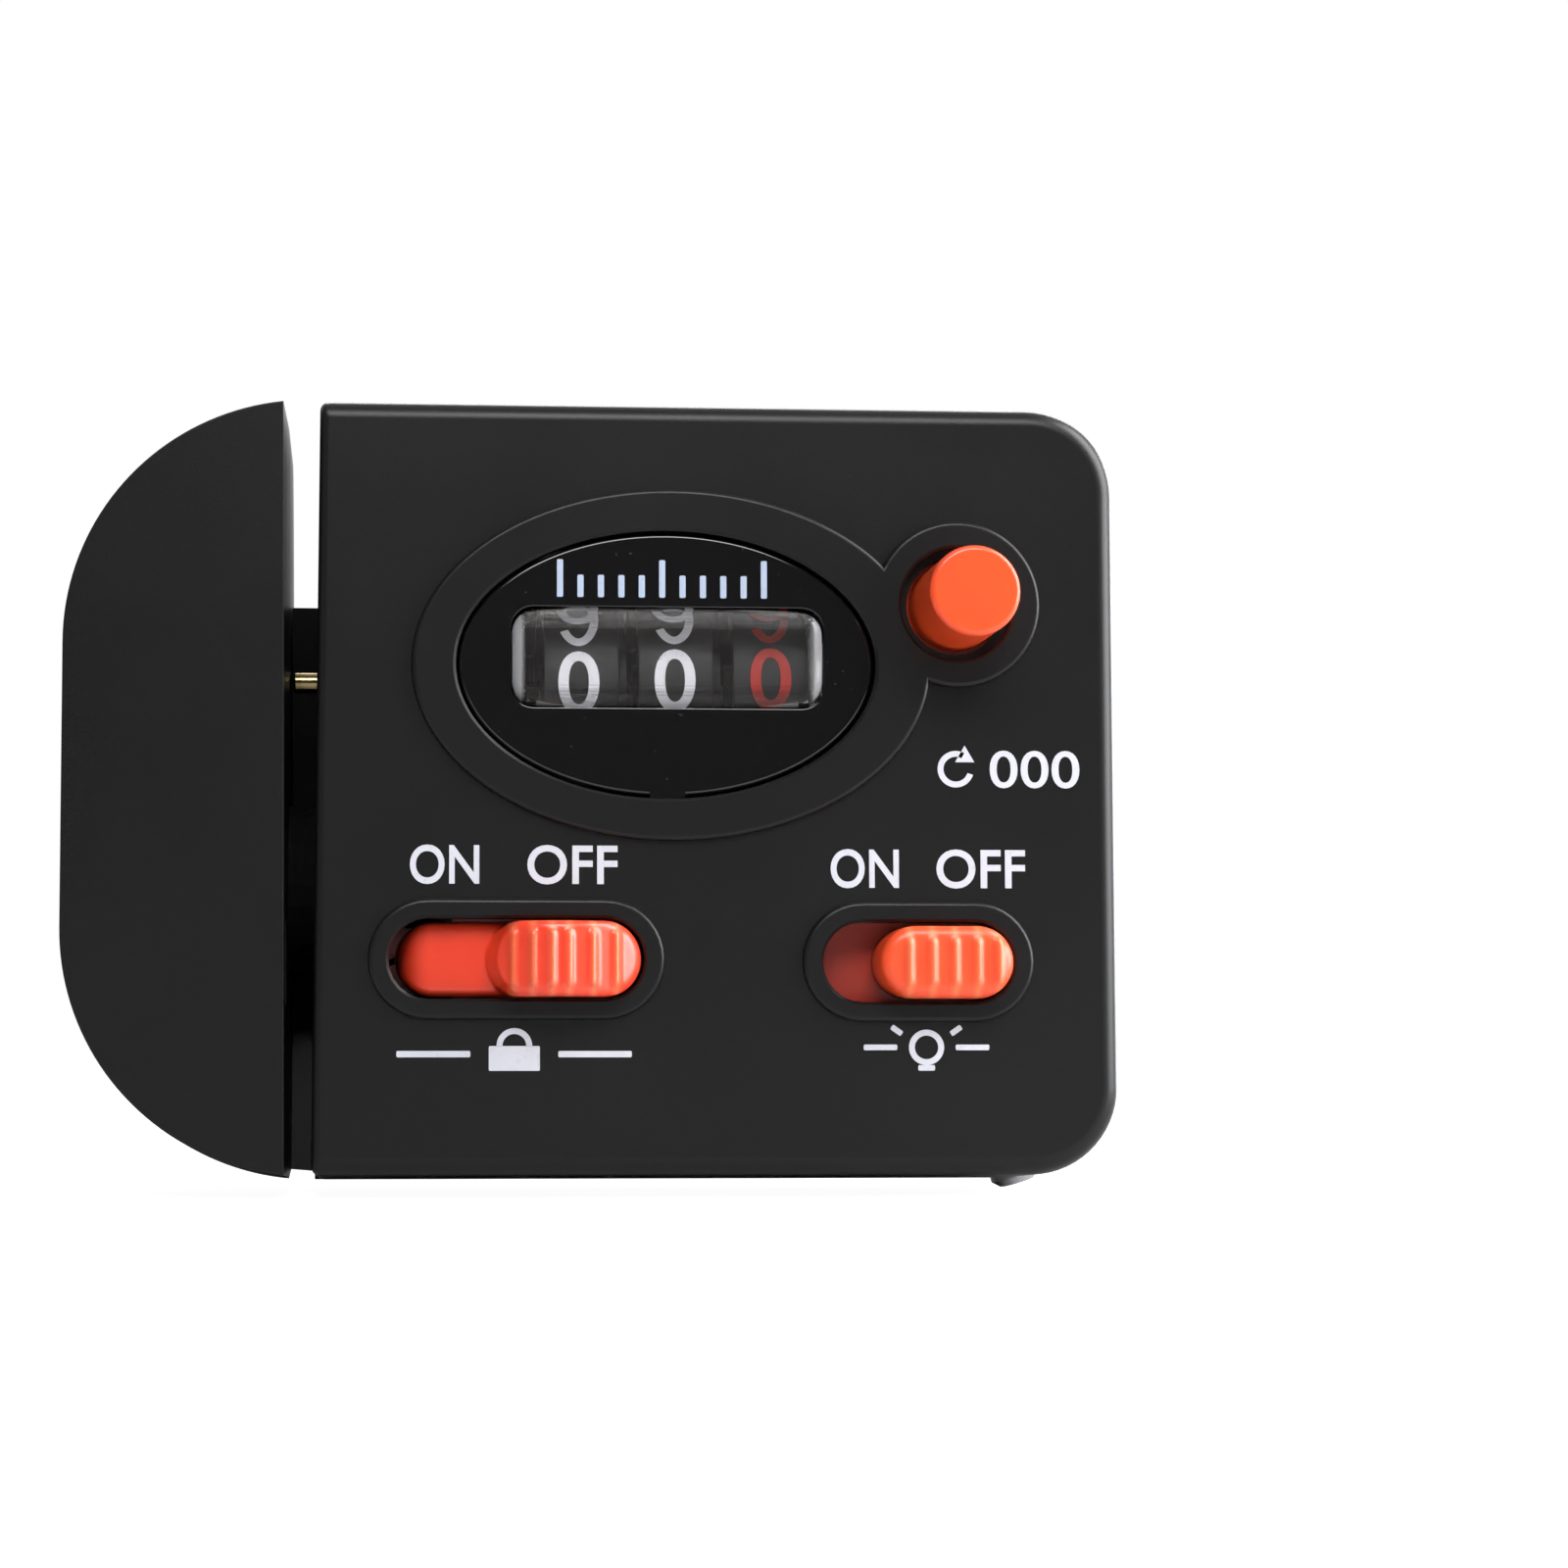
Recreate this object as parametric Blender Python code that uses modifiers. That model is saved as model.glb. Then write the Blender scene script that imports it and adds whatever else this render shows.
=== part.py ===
"""Rod-mounted fishing line counter: a moulded case with a line slot, a measuring wheel, a gear train,
three number drums, a line lock, a reset button, a drum lamp with its switch, and a rod clamp.

Case frame: x runs right from the middle of the line slot, y runs back from the face of the case, z runs up
from its bottom. The world origin is on the axis of the rod, at the middle of the clamp.
"""

import math

import bmesh
import bpy
from mathutils import Matrix, Vector

MM = 0.001
WELD = 0.01 * MM

# Case
CASE_HEIGHT = 55.0 * MM
CASE_RIGHT = 58.4 * MM
CASE_LEFT = 16.7 * MM
BACK_DEPTH = 28.6 * MM
PARTING_DEPTH_SHARE = 0.507
PARTING_DEPTH = BACK_DEPTH * PARTING_DEPTH_SHARE
WALL = 1.8 * MM
FACE_WALL = 2.0 * MM
END_RADIUS = 17.4 * MM
CORNER_RADIUS = 6.2 * MM
SLOT_CORNER_RADIUS = 0.7 * MM
FACE_ROUND = 1.3 * MM
BACK_ROUND = 1.6 * MM
FACE_DRAFT = math.radians(3.2)
BACK_DRAFT = math.radians(4.0)

# Line slot
SLOT_HALF_TOP = 1.3 * MM
SLOT_HALF_BOTTOM = 0.95 * MM
SLOT_DEPTH_SHARE = 0.87413
SLOT_DEPTH = BACK_DEPTH * SLOT_DEPTH_SHARE
SLOT_OPEN_HEIGHT_SHARE = 0.7909
SLOT_OPEN_HEIGHT = CASE_HEIGHT * SLOT_OPEN_HEIGHT_SHARE
SLOT_EDGE = 0.35 * MM
KEEPER_RADIUS = 0.8 * MM
KEEPER_DEPTH_SHARE = 0.64685
KEEPER_DEPTH = BACK_DEPTH * KEEPER_DEPTH_SHARE
KEEPER_HEIGHT_SHARE = 0.6691
KEEPER_HEIGHT = CASE_HEIGHT * KEEPER_HEIGHT_SHARE

# Clearances
GAP = 0.3 * MM
FIT = 0.2 * MM
OVERRUN = 1.0 * MM

# Rod and clamp, in the clamp frame: x as in the case, y away from the case, z up the rod
ROD_RADIUS = 5.5 * MM
ROD_TILT = math.radians(16.0)
ROD_STANDOFF = 7.2 * MM
ROD_DEPTH = BACK_DEPTH + ROD_STANDOFF
ROD_HEIGHT = 23.2 * MM
ROD_CLEARANCE = 0.5 * MM
PAD_THICKNESS = 0.9 * MM
CLAMP_HALF_LENGTH = 16.2 * MM
CLAMP_SIDE = 8.4 * MM
CLAMP_REACH = 24.4 * MM
CLAMP_CORNER = 2.0 * MM
SADDLE_WING = 1.8 * MM
STUD_X = 11.8 * MM
STUD_DROP = 2.0 * MM
STUD_RADIUS = 2.5 * MM
STUD_HEAD_RADIUS = 4.0 * MM
STUD_HEAD_THICKNESS = 1.8 * MM
STUD_SHOWN = 5.6 * MM
THREAD_CLEARANCE = 0.5 * MM
NUT_RADIUS = 5.5 * MM
NUT_THICKNESS = 5.8 * MM
WASHER_RADIUS = 6.6 * MM
WASHER_THICKNESS = 0.8 * MM
JAW_THICKNESS = 4.4 * MM
JAW_DEPTH = 5.5 * MM
JAW_WING = 2.5 * MM

# Line wheel and gear train
WHEEL_RADIUS_SHARE = 0.22273
WHEEL_RADIUS = BACK_DEPTH * WHEEL_RADIUS_SHARE
WHEEL_WIDTH = 2.6 * MM
WHEEL_DEPTH_SHARE = 0.63986
WHEEL_DEPTH = BACK_DEPTH * WHEEL_DEPTH_SHARE
WHEEL_HEIGHT_SHARE = 0.3818
WHEEL_HEIGHT = CASE_HEIGHT * WHEEL_HEIGHT_SHARE
TYRE_THICKNESS = 1.5 * MM
AXLE_RADIUS = 0.6 * MM
GEAR_TEETH = 40
PINION_TEETH = 8
GEAR_REACH_SHARE = 0.52
GEAR_WIDTH_SHARE = 0.0171
GEAR_WIDTH = CASE_RIGHT * GEAR_WIDTH_SHARE
PINION_WIDTH = 1.4 * MM

# Number drums
DRUM_RADIUS_SHARE = 0.2797
DRUM_RADIUS = BACK_DEPTH * DRUM_RADIUS_SHARE
DRUM_WIDTH_SHARE = 0.09247
DRUM_WIDTH = CASE_RIGHT * DRUM_WIDTH_SHARE
DRUM_PITCH_SHARE = 0.1173
DRUM_PITCH = CASE_RIGHT * DRUM_PITCH_SHARE
DRUM_X_SHARE = 0.46147
DRUM_X = CASE_RIGHT * DRUM_X_SHARE
DRUM_HEIGHT_SHARE = 0.64
DRUM_HEIGHT = CASE_HEIGHT * DRUM_HEIGHT_SHARE
DRUM_CLEARANCE = 0.7 * MM
DRUM_SHAFT_RADIUS = 0.8 * MM
PINION_SHAFT_RADIUS = 0.6 * MM
TRANSFER_TEETH = 8
TRANSFER_PITCH_SHARE = 0.875
DRUM_TEETH = 20
TRANSFER_ANGLE = math.radians(45.0)

# Lens
LENS_X_SHARE = 0.4452
LENS_X = CASE_RIGHT * LENS_X_SHARE
LENS_RISE = 1.0 * MM
LENS_HALF_WIDTH_SHARE = 0.2534
LENS_HALF_WIDTH = CASE_RIGHT * LENS_HALF_WIDTH_SHARE
LENS_HALF_HEIGHT_SHARE = 0.1709
LENS_HALF_HEIGHT = CASE_HEIGHT * LENS_HALF_HEIGHT_SHARE
LENS_SINK = 0.4 * MM
LENS_THICKNESS = 1.95 * MM
WINDOW_HALF_WIDTH_SHARE = 0.1918
WINDOW_HALF_WIDTH = CASE_RIGHT * WINDOW_HALF_WIDTH_SHARE
WINDOW_HALF_HEIGHT_SHARE = 0.06545
WINDOW_HALF_HEIGHT = CASE_HEIGHT * WINDOW_HALF_HEIGHT_SHARE
WINDOW_RISE = 1.5 * MM
WINDOW_BULGE = 0.7 * MM
RING_MARGIN_WIDE = 3.7 * MM
RING_MARGIN_HIGH = 3.2 * MM
RING_SHIFT = 0.4 * MM
RING_RISE = 0.45 * MM
RING_SLOPE = 0.35 * MM
LENS_FRONT = LENS_SINK - RING_RISE

# Reset button
BUTTON_X_SHARE = 0.8031
BUTTON_X = CASE_RIGHT * BUTTON_X_SHARE
BUTTON_HEIGHT_SHARE = 0.74
BUTTON_HEIGHT = CASE_HEIGHT * BUTTON_HEIGHT_SHARE
BUTTON_RADIUS_SHARE = 0.0548
BUTTON_RADIUS = CASE_RIGHT * BUTTON_RADIUS_SHARE
BUTTON_HOLE_RADIUS_SHARE = 0.06935
BUTTON_HOLE_RADIUS = CASE_RIGHT * BUTTON_HOLE_RADIUS_SHARE
BUTTON_SHOWN = 7.0 * MM
BUTTON_TRAVEL = 3.0 * MM
BUTTON_STEM_RADIUS = 1.5 * MM
BUTTON_FLANGE = 1.0 * MM
BUTTON_RING_RADIUS = 6.0 * MM

# Slide controls
SLIDE_HEIGHT_SHARE = 0.27545
SLIDE_HEIGHT = CASE_HEIGHT * SLIDE_HEIGHT_SHARE
OPENING_HALF_HEIGHT = 2.85 * MM
SLIDE_RING = 1.35 * MM
SLIDE_PLATE = 1.2 * MM
SLIDE_LAP = 1.5 * MM
SLIDE_END_GAP = 0.5 * MM
LOCK_LEFT_SHARE = 0.1079
LOCK_LEFT = CASE_RIGHT * LOCK_LEFT_SHARE
LOCK_RIGHT_SHARE = 0.4178
LOCK_RIGHT = CASE_RIGHT * LOCK_RIGHT_SHARE
LOCK_TRAVEL_SHARE = 0.1113
LOCK_TRAVEL = CASE_RIGHT * LOCK_TRAVEL_SHARE
LOCK_RISE = 3.5 * MM
LIGHT_LEFT_SHARE = 0.63527
LIGHT_LEFT = CASE_RIGHT * LIGHT_LEFT_SHARE
LIGHT_RIGHT_SHARE = 0.86986
LIGHT_RIGHT = CASE_RIGHT * LIGHT_RIGHT_SHARE
LIGHT_TRAVEL_SHARE = 0.06164
LIGHT_TRAVEL = CASE_RIGHT * LIGHT_TRAVEL_SHARE
LIGHT_RISE = 3.0 * MM
RIB_PITCH = 1.6 * MM
RIB_DEPTH = 0.45 * MM

# Lamp, board and cells
SHELF_BOTTOM_SHARE = 0.16
SHELF_BOTTOM = CASE_HEIGHT * SHELF_BOTTOM_SHARE
CONTACT_THICKNESS = 0.3 * MM
CELL_FLOOR = WALL + CONTACT_THICKNESS + GAP
CELL_HEIGHT_SHARE = 0.84375
CELL_HEIGHT = (SHELF_BOTTOM - CELL_FLOOR) * CELL_HEIGHT_SHARE
BOARD_DEPTH = 8.4 * MM
BOARD_THICKNESS = 1.0 * MM
BOARD_LEFT_SHARE = 0.4829
BOARD_LEFT = CASE_RIGHT * BOARD_LEFT_SHARE
BOARD_RIGHT_SHARE = 0.9418
BOARD_RIGHT = CASE_RIGHT * BOARD_RIGHT_SHARE
BOARD_BOTTOM_SHARE = 0.1927
BOARD_BOTTOM = CASE_HEIGHT * BOARD_BOTTOM_SHARE
BOARD_TOP_SHARE = 0.46545
BOARD_TOP = CASE_HEIGHT * BOARD_TOP_SHARE
LAMP_RADIUS = 1.5 * MM
CELL_RADIUS_SHARE = 0.0993
CELL_RADIUS = CASE_RIGHT * CELL_RADIUS_SHARE
CELL_X_SHARE = 0.5976
CELL_X = CASE_RIGHT * CELL_X_SHARE
CELL_DEPTH_SHARE = 0.44056
CELL_DEPTH = BACK_DEPTH * CELL_DEPTH_SHARE
DOOR_LEFT_SHARE = 0.49315
DOOR_LEFT = CASE_RIGHT * DOOR_LEFT_SHARE
DOOR_RIGHT_SHARE = 0.97945
DOOR_RIGHT = CASE_RIGHT * DOOR_RIGHT_SHARE
DOOR_FRONT_SHARE = 0.2203
DOOR_FRONT = BACK_DEPTH * DOOR_FRONT_SHARE
DOOR_BACK_SHARE = 0.73077
DOOR_BACK = BACK_DEPTH * DOOR_BACK_SHARE
DOOR_SCREW_ANGLE = math.radians(17.0)
DOOR_SCREW_DEPTH_SHARE = 0.62238
DOOR_SCREW_DEPTH = BACK_DEPTH * DOOR_SCREW_DEPTH_SHARE
DOOR_SCREW_RADIUS = 0.7 * MM
DOOR_BOSS_RADIUS = 1.6 * MM

# Screws
SCREW_RADIUS = 0.9 * MM
SCREW_HEAD_RADIUS = 1.9 * MM
SCREW_HEAD_HEIGHT = 1.3 * MM
SCREW_BOSS_RADIUS = 2.9 * MM
SCREW_SEAT_DEPTH_SHARE = 0.6818
SCREW_SEAT_DEPTH = BACK_DEPTH * SCREW_SEAT_DEPTH_SHARE
SCREW_TIP_DEPTH = 7.0 * MM
POST_RADIUS = 2.1 * MM

ROUND_STEPS = 20
FINE_STEPS = 12


# Scene

def clear_scene():
    for item in list(bpy.data.objects):
        bpy.data.objects.remove(item, do_unlink=True)


clear_scene()
PARTS = bpy.data.collections.new("fishing_line_counter")
CUTTERS = bpy.data.collections.new("cutters")
for collection in (PARTS, CUTTERS):
    bpy.context.scene.collection.children.link(collection)


def frame_empty(name, location, tilt):
    empty = bpy.data.objects.new(name, None)
    empty.location = location
    empty.rotation_euler = (tilt, 0.0, 0.0)
    empty.empty_display_size = ROD_RADIUS
    PARTS.objects.link(empty)
    return empty


CASE = frame_empty("case_frame", (0.0, -ROD_DEPTH, -ROD_HEIGHT), 0.0)
CLAMP = frame_empty("clamp_frame", (0.0, 0.0, 0.0), -ROD_TILT)


def material(name, colour, roughness, metallic=0.0):
    made = bpy.data.materials.new(name)
    made.use_nodes = True
    shader = made.node_tree.nodes["Principled BSDF"]
    shader.inputs["Base Color"].default_value = (*colour, 1.0)
    shader.inputs["Roughness"].default_value = roughness
    shader.inputs["Metallic"].default_value = metallic
    made.diffuse_color = (*colour, 1.0)
    return made


CASE_PLASTIC = material("case_plastic", (0.016, 0.016, 0.017), 0.45)
ORANGE_PLASTIC = material("orange_plastic", (0.93, 0.09, 0.02), 0.35)
LENS_PLASTIC = material("lens_plastic", (0.02, 0.02, 0.022), 0.08)
DRUM_PLASTIC = material("drum_plastic", (0.03, 0.03, 0.032), 0.5)
GEAR_PLASTIC = material("gear_plastic", (0.75, 0.75, 0.72), 0.45)
RUBBER = material("rubber", (0.012, 0.012, 0.012), 0.8)
STEEL = material("steel", (0.55, 0.55, 0.56), 0.3, 1.0)
BRASS = material("brass", (0.70, 0.52, 0.24), 0.3, 1.0)
NICKEL = material("nickel", (0.60, 0.54, 0.46), 0.32, 1.0)
BOARD_GREEN = material("board_green", (0.02, 0.12, 0.05), 0.5)
LAMP_RED = material("lamp_red", (0.6, 0.02, 0.02), 0.15)


# Modelling helpers

def finish_object(name, mesh, surface, parent, location):
    item = bpy.data.objects.new(name, mesh)
    item.parent = parent
    item.location = location
    if surface is None:
        item.hide_render = True
        item.display_type = "WIRE"
        CUTTERS.objects.link(item)
    else:
        mesh.materials.append(surface)
        PARTS.objects.link(item)
    return item


def shape(name, bm, surface=None, parent=CASE, origin=(0.0, 0.0, 0.0)):
    """Makes an object of a bmesh drawn in its parent's frame, with its origin at the given place."""
    bmesh.ops.recalc_face_normals(bm, faces=bm.faces)
    bmesh.ops.translate(bm, verts=bm.verts, vec=-Vector(origin))
    mesh = bpy.data.meshes.new(name)
    bm.to_mesh(mesh)
    bm.free()
    mesh.shade_smooth()
    mesh.set_sharp_from_angle(angle=math.radians(35.0))
    return finish_object(name, mesh, surface, parent, origin)


def box(low, high):
    bm = bmesh.new()
    bmesh.ops.create_cube(bm, size=1.0)
    low, high = Vector(low), Vector(high)
    bmesh.ops.scale(bm, verts=bm.verts, vec=high - low)
    bmesh.ops.translate(bm, verts=bm.verts, vec=(low + high) / 2)
    return bm


def rod(start, end, radius, steps=FINE_STEPS, end_radius=None):
    """A cylinder or cone from start to end."""
    bm = bmesh.new()
    start, end = Vector(start), Vector(end)
    along = end - start
    turn = along.to_track_quat("Z", "Y").to_matrix().to_4x4()
    place = Matrix.Translation((start + end) / 2) @ turn
    end_radius = radius if end_radius is None else end_radius
    bmesh.ops.create_cone(bm, cap_ends=True, segments=steps, radius1=radius, radius2=end_radius,
                          depth=along.length, matrix=place)
    return bm


AXES = {"x": lambda a, u, v: (a, u, v), "y": lambda a, u, v: (u, a, v), "z": lambda a, u, v: (u, v, a)}


def prism(outline, axis, low, high):
    """A flat outline, given across the axis, extruded along it."""
    bm = bmesh.new()
    place = AXES[axis]
    face = bm.faces.new([bm.verts.new(place(low, u, v)) for u, v in outline])
    grown = bmesh.ops.extrude_face_region(bm, geom=[face])
    moved = [item for item in grown["geom"] if isinstance(item, bmesh.types.BMVert)]
    bmesh.ops.translate(bm, verts=moved, vec=Vector(place(high - low, 0.0, 0.0)))
    return bm


def loft(sections):
    """A closed body through outlines of equal count, each a list of points in space."""
    bm = bmesh.new()
    rings = [[bm.verts.new(point) for point in section] for section in sections]
    for near, far in zip(rings, rings[1:]):
        for index in range(len(near)):
            after = (index + 1) % len(near)
            bm.faces.new((near[index], near[after], far[after], far[index]))
    bm.faces.new(rings[0])
    bm.faces.new(rings[-1])
    return bm


TURNS = {"x": (0.0, math.pi / 2, 0.0), "y": (-math.pi / 2, 0.0, 0.0), "z": (0.0, 0.0, 0.0)}


def turned(name, profile, surface=None, parent=CASE, origin=(0.0, 0.0, 0.0), axis="z", steps=ROUND_STEPS):
    """A turned body: a closed profile of (radius, place along the axis), screwed round."""
    area = sum(a[0] * b[1] - b[0] * a[1] for a, b in zip(profile, profile[1:] + profile[:1]))
    if area > 0.0:
        profile = profile[::-1]
    mesh = bpy.data.meshes.new(name)
    points = [(radius, 0.0, along) for radius, along in profile]
    edges = [(index, (index + 1) % len(points)) for index in range(len(points))]
    on_axis = [index for index, point in enumerate(profile) if point[0] == 0.0]
    if len(on_axis) == 2:
        edges.remove(next(edge for edge in edges if set(edge) == set(on_axis)))
    mesh.from_pydata(points, edges, [])
    item = finish_object(name, mesh, surface, parent, origin)
    item.rotation_euler = TURNS[axis]
    screw = item.modifiers.new("turn", "SCREW")
    screw.axis = "Z"
    screw.steps = steps
    screw.render_steps = steps
    screw.use_merge_vertices = True
    screw.merge_threshold = WELD
    screw.use_smooth_shade = True
    return item


def change(target, operation, tools):
    for tool in tools:
        step = target.modifiers.new(tool.name, "BOOLEAN")
        step.operation = operation
        step.object = tool


def cut(target, *tools):
    change(target, "DIFFERENCE", tools)


def add(target, *tools):
    change(target, "UNION", tools)


def keep(target, *tools):
    change(target, "INTERSECT", tools)


# Outlines

def rounded(corners, radii, steps):
    """A closed outline with each corner rounded to its radius, in its number of steps."""
    points = []
    for index, corner in enumerate(corners):
        here = Vector(corner)
        back = (Vector(corners[index - 1]) - here).normalized()
        onward = (Vector(corners[(index + 1) % len(corners)]) - here).normalized()
        half = back.angle(onward) / 2
        reach = radii[index] / math.tan(half)
        centre = here + (back + onward).normalized() * radii[index] / math.sin(half)
        first = here + back * reach - centre
        last = here + onward * reach - centre
        start = math.atan2(first.y, first.x)
        sweep = (math.atan2(last.y, last.x) - start + math.pi) % math.tau - math.pi
        for step in range(steps[index] + 1):
            angle = start + sweep * step / steps[index]
            points.append((centre.x + radii[index] * math.cos(angle),
                           centre.y + radii[index] * math.sin(angle)))
    return points


def oval(x, z, half_width, half_height, steps=32):
    turns = [math.tau * index / steps for index in range(steps)]
    return [(x + half_width * math.cos(turn), z + half_height * math.sin(turn)) for turn in turns]


def stadium(left, right, z, half_height, steps=6):
    corners = [(left, z - half_height), (right, z - half_height), (right, z + half_height),
               (left, z + half_height)]
    radius = half_height * 0.999
    return rounded(corners, [radius] * 4, [steps] * 4)


def slot_half(z):
    """Half the width of the line slot at a height: it narrows downwards."""
    return SLOT_HALF_BOTTOM + (SLOT_HALF_TOP - SLOT_HALF_BOTTOM) * z / CASE_HEIGHT


def body_outline(inset, slot_inset):
    low, high = inset, CASE_HEIGHT - inset
    left_low, left_high = slot_half(low) + slot_inset, slot_half(high) + slot_inset
    right = CASE_RIGHT - inset
    corners = [(left_low, low), (right, low), (right, high), (left_high, high)]
    large = max(CORNER_RADIUS - inset, FIT)
    small = max(SLOT_CORNER_RADIUS - inset, FIT)
    return rounded(corners, [small, large, large, small], [2, 6, 6, 2])


def end_outline(inset, slot_inset):
    """The end piece: two large arcs that meet the slot edge before they run level."""
    steps = 12
    radius = END_RADIUS - inset
    centre_x = END_RADIUS - CASE_LEFT
    points = []
    for centre_z, side in ((CASE_HEIGHT - END_RADIUS, 1.0), (END_RADIUS, -1.0)):
        edge = -slot_half(centre_z + side * radius) - slot_inset
        first = math.acos((edge - centre_x) / radius)
        turns = [first + (math.pi - first) * step / steps for step in range(steps + 1)]
        arc = [(centre_x + radius * math.cos(turn),
                centre_z + side * radius * math.sin(turn)) for turn in turns]
        points += arc if side > 0.0 else arc[::-1]
    return points


def case_outline(inset):
    low, high = inset, CASE_HEIGHT - inset
    left, right = inset - CASE_LEFT, CASE_RIGHT - inset
    corners = [(left, low), (right, low), (right, high), (left, high)]
    large, small = END_RADIUS - inset, max(CORNER_RADIUS - inset, FIT)
    return rounded(corners, [large, small, small, large], [10, 6, 6, 10])


def at_depth(outline, depth):
    return [(x, depth, z) for x, z in outline]


def front_inset(depth):
    """How far the drafted front half lies inside the face outline at a depth: negative outside it."""
    return -depth * math.tan(FACE_DRAFT)


def rear_inset(depth):
    return front_inset(PARTING_DEPTH) + (depth - PARTING_DEPTH) * math.tan(BACK_DRAFT)


def lower_back_depth(z):
    """Depth of the lower back of the case, which runs beside the rod."""
    away = ROD_RADIUS + ROD_CLEARANCE
    return ROD_DEPTH + (z - ROD_HEIGHT) * math.tan(ROD_TILT) - away / math.cos(ROD_TILT)


def back_depth(z):
    return min(BACK_DEPTH, lower_back_depth(z))


TOP_TAPER_DROP = 12.0 * MM
TOP_TAPER_MIDDLE = 4.0 * MM
TOP_TAPER_STEP = 1.1 * MM


def back_profile(inset):
    """Side view of the rear half: (depth, height) from the bottom, up the back, to the top."""
    low, high = -OVERRUN * 3, CASE_HEIGHT + OVERRUN * 3
    clear = (ROD_RADIUS + ROD_CLEARANCE) / math.cos(ROD_TILT)
    ridge = ROD_HEIGHT + (BACK_DEPTH - ROD_DEPTH + clear) / math.tan(ROD_TILT)
    taper = CASE_HEIGHT - TOP_TAPER_DROP
    middle = CASE_HEIGHT - TOP_TAPER_MIDDLE
    front = PARTING_DEPTH - OVERRUN * 4
    return [
        (front, low),
        (lower_back_depth(low) - inset, low),
        (BACK_DEPTH - inset, ridge),
        (BACK_DEPTH - inset, taper),
        (BACK_DEPTH - inset - TOP_TAPER_STEP, middle),
        (BACK_DEPTH - inset - TOP_TAPER_STEP * 3, high),
        (front, high),
    ]


# Case shells

def front_sections(outline, wall, slot_wall):
    """Sections of a front half: the rounded face edge, then the drafted side."""
    sections = []
    for step in range(4):
        turn = math.pi / 2 * step / 3
        rest = 1.0 - math.sin(turn)
        depth = FACE_ROUND * (1.0 - math.cos(turn))
        sections.append(at_depth(outline(FACE_ROUND * rest + wall, SLOT_EDGE * rest + slot_wall), depth))
    rim = PARTING_DEPTH - GAP / 2
    sections.append(at_depth(outline(front_inset(rim) + wall, slot_wall), rim))
    return sections


def cavity(name, outline, start, end, inset):
    near, far = inset(start) + WALL, inset(end) + WALL
    return shape(name, loft([at_depth(outline(near, WALL), start), at_depth(outline(far, WALL), end)]))


FRONT_CAVITY = cavity("front_cavity", body_outline, FACE_WALL, PARTING_DEPTH, front_inset)
END_CAVITY = cavity("end_cavity", end_outline, FACE_WALL, PARTING_DEPTH, front_inset)
REAR_END = BACK_DEPTH + OVERRUN
REAR_CAVITY = cavity("rear_cavity", body_outline, PARTING_DEPTH - OVERRUN, REAR_END, rear_inset)
REAR_END_CAVITY = cavity("rear_end_cavity", end_outline, PARTING_DEPTH - OVERRUN, REAR_END, rear_inset)
CAVITY_BACK = shape("cavity_back", prism(back_profile(WALL), "x", -CASE_LEFT - OVERRUN, CASE_RIGHT + OVERRUN))
keep(REAR_CAVITY, CAVITY_BACK)
keep(REAR_END_CAVITY, CAVITY_BACK)

WHEEL_POCKET = shape("wheel_pocket", rod(
    (-WHEEL_WIDTH / 2 - GAP, WHEEL_DEPTH, WHEEL_HEIGHT), (WHEEL_WIDTH / 2 + GAP, WHEEL_DEPTH, WHEEL_HEIGHT),
    WHEEL_RADIUS + GAP * 2, ROUND_STEPS))

SCREW_SHARES = [
    (0.1421, 0.8909),
    (0.90753, 0.8818),
    (0.11986, 0.1018),
    (0.9144, 0.54545),
]
END_SCREW_SHARES = [(0.479, 0.8), (0.479, 0.2)]
FRAME_POST_SHARES = [(0.2055, 0.79273), (0.75685, 0.56727)]
BOARD_POST_SHARES = [(0.56507, 0.41455), (0.89726, 0.41455)]


def places(width, shares):
    """Places on the face, from shares of a width and of the case height."""
    return [(width * across, CASE_HEIGHT * up) for across, up in shares]


FRONT_SCREWS = places(CASE_RIGHT, SCREW_SHARES)
END_SCREWS = places(-CASE_LEFT, END_SCREW_SHARES)
CASE_SCREWS = FRONT_SCREWS + END_SCREWS
FRAME_POSTS = places(CASE_RIGHT, FRAME_POST_SHARES)
BOARD_POSTS = places(CASE_RIGHT, BOARD_POST_SHARES)
FRAME_LUG_DEPTH = 9.6 * MM
LUG_THICKNESS = 1.2 * MM
LEAF_POST_X_SHARE = 0.48973
LEAF_POST_X = CASE_RIGHT * LEAF_POST_X_SHARE
LEAF_DEPTH = 4.1 * MM
LEAF_THICKNESS = 0.4 * MM
SHELF_THICKNESS = 1.2 * MM


def posts(target, name, spots, radius, hole, back, hole_front):
    """Round posts on the back of the face, with blind screw holes."""
    for index, (x, z) in enumerate(spots, 1):
        add(target, shape(f"{name}_{index}", rod((x, FACE_WALL / 2, z), (x, back, z), radius)))
        cut(target, shape(f"{name}_hole_{index}", rod((x, hole_front, z), (x, back + OVERRUN, z), hole)))


def tongue_window(name, side):
    """The hole in a slot wall that the tongue of the line lock passes through."""
    near, far = side * SLOT_HALF_BOTTOM / 2, side * (SLOT_HALF_TOP + WALL + OVERRUN)
    half = OPENING_HALF_HEIGHT
    low = (min(near, far), FACE_WALL + FIT, SLIDE_HEIGHT - half)
    high = (max(near, far), FACE_WALL + SLIDE_PLATE + TONGUE_THICKNESS + GAP * 4, SLIDE_HEIGHT + half)
    return shape(name, box(low, high))


TONGUE_THICKNESS = 3.0 * MM


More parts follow.
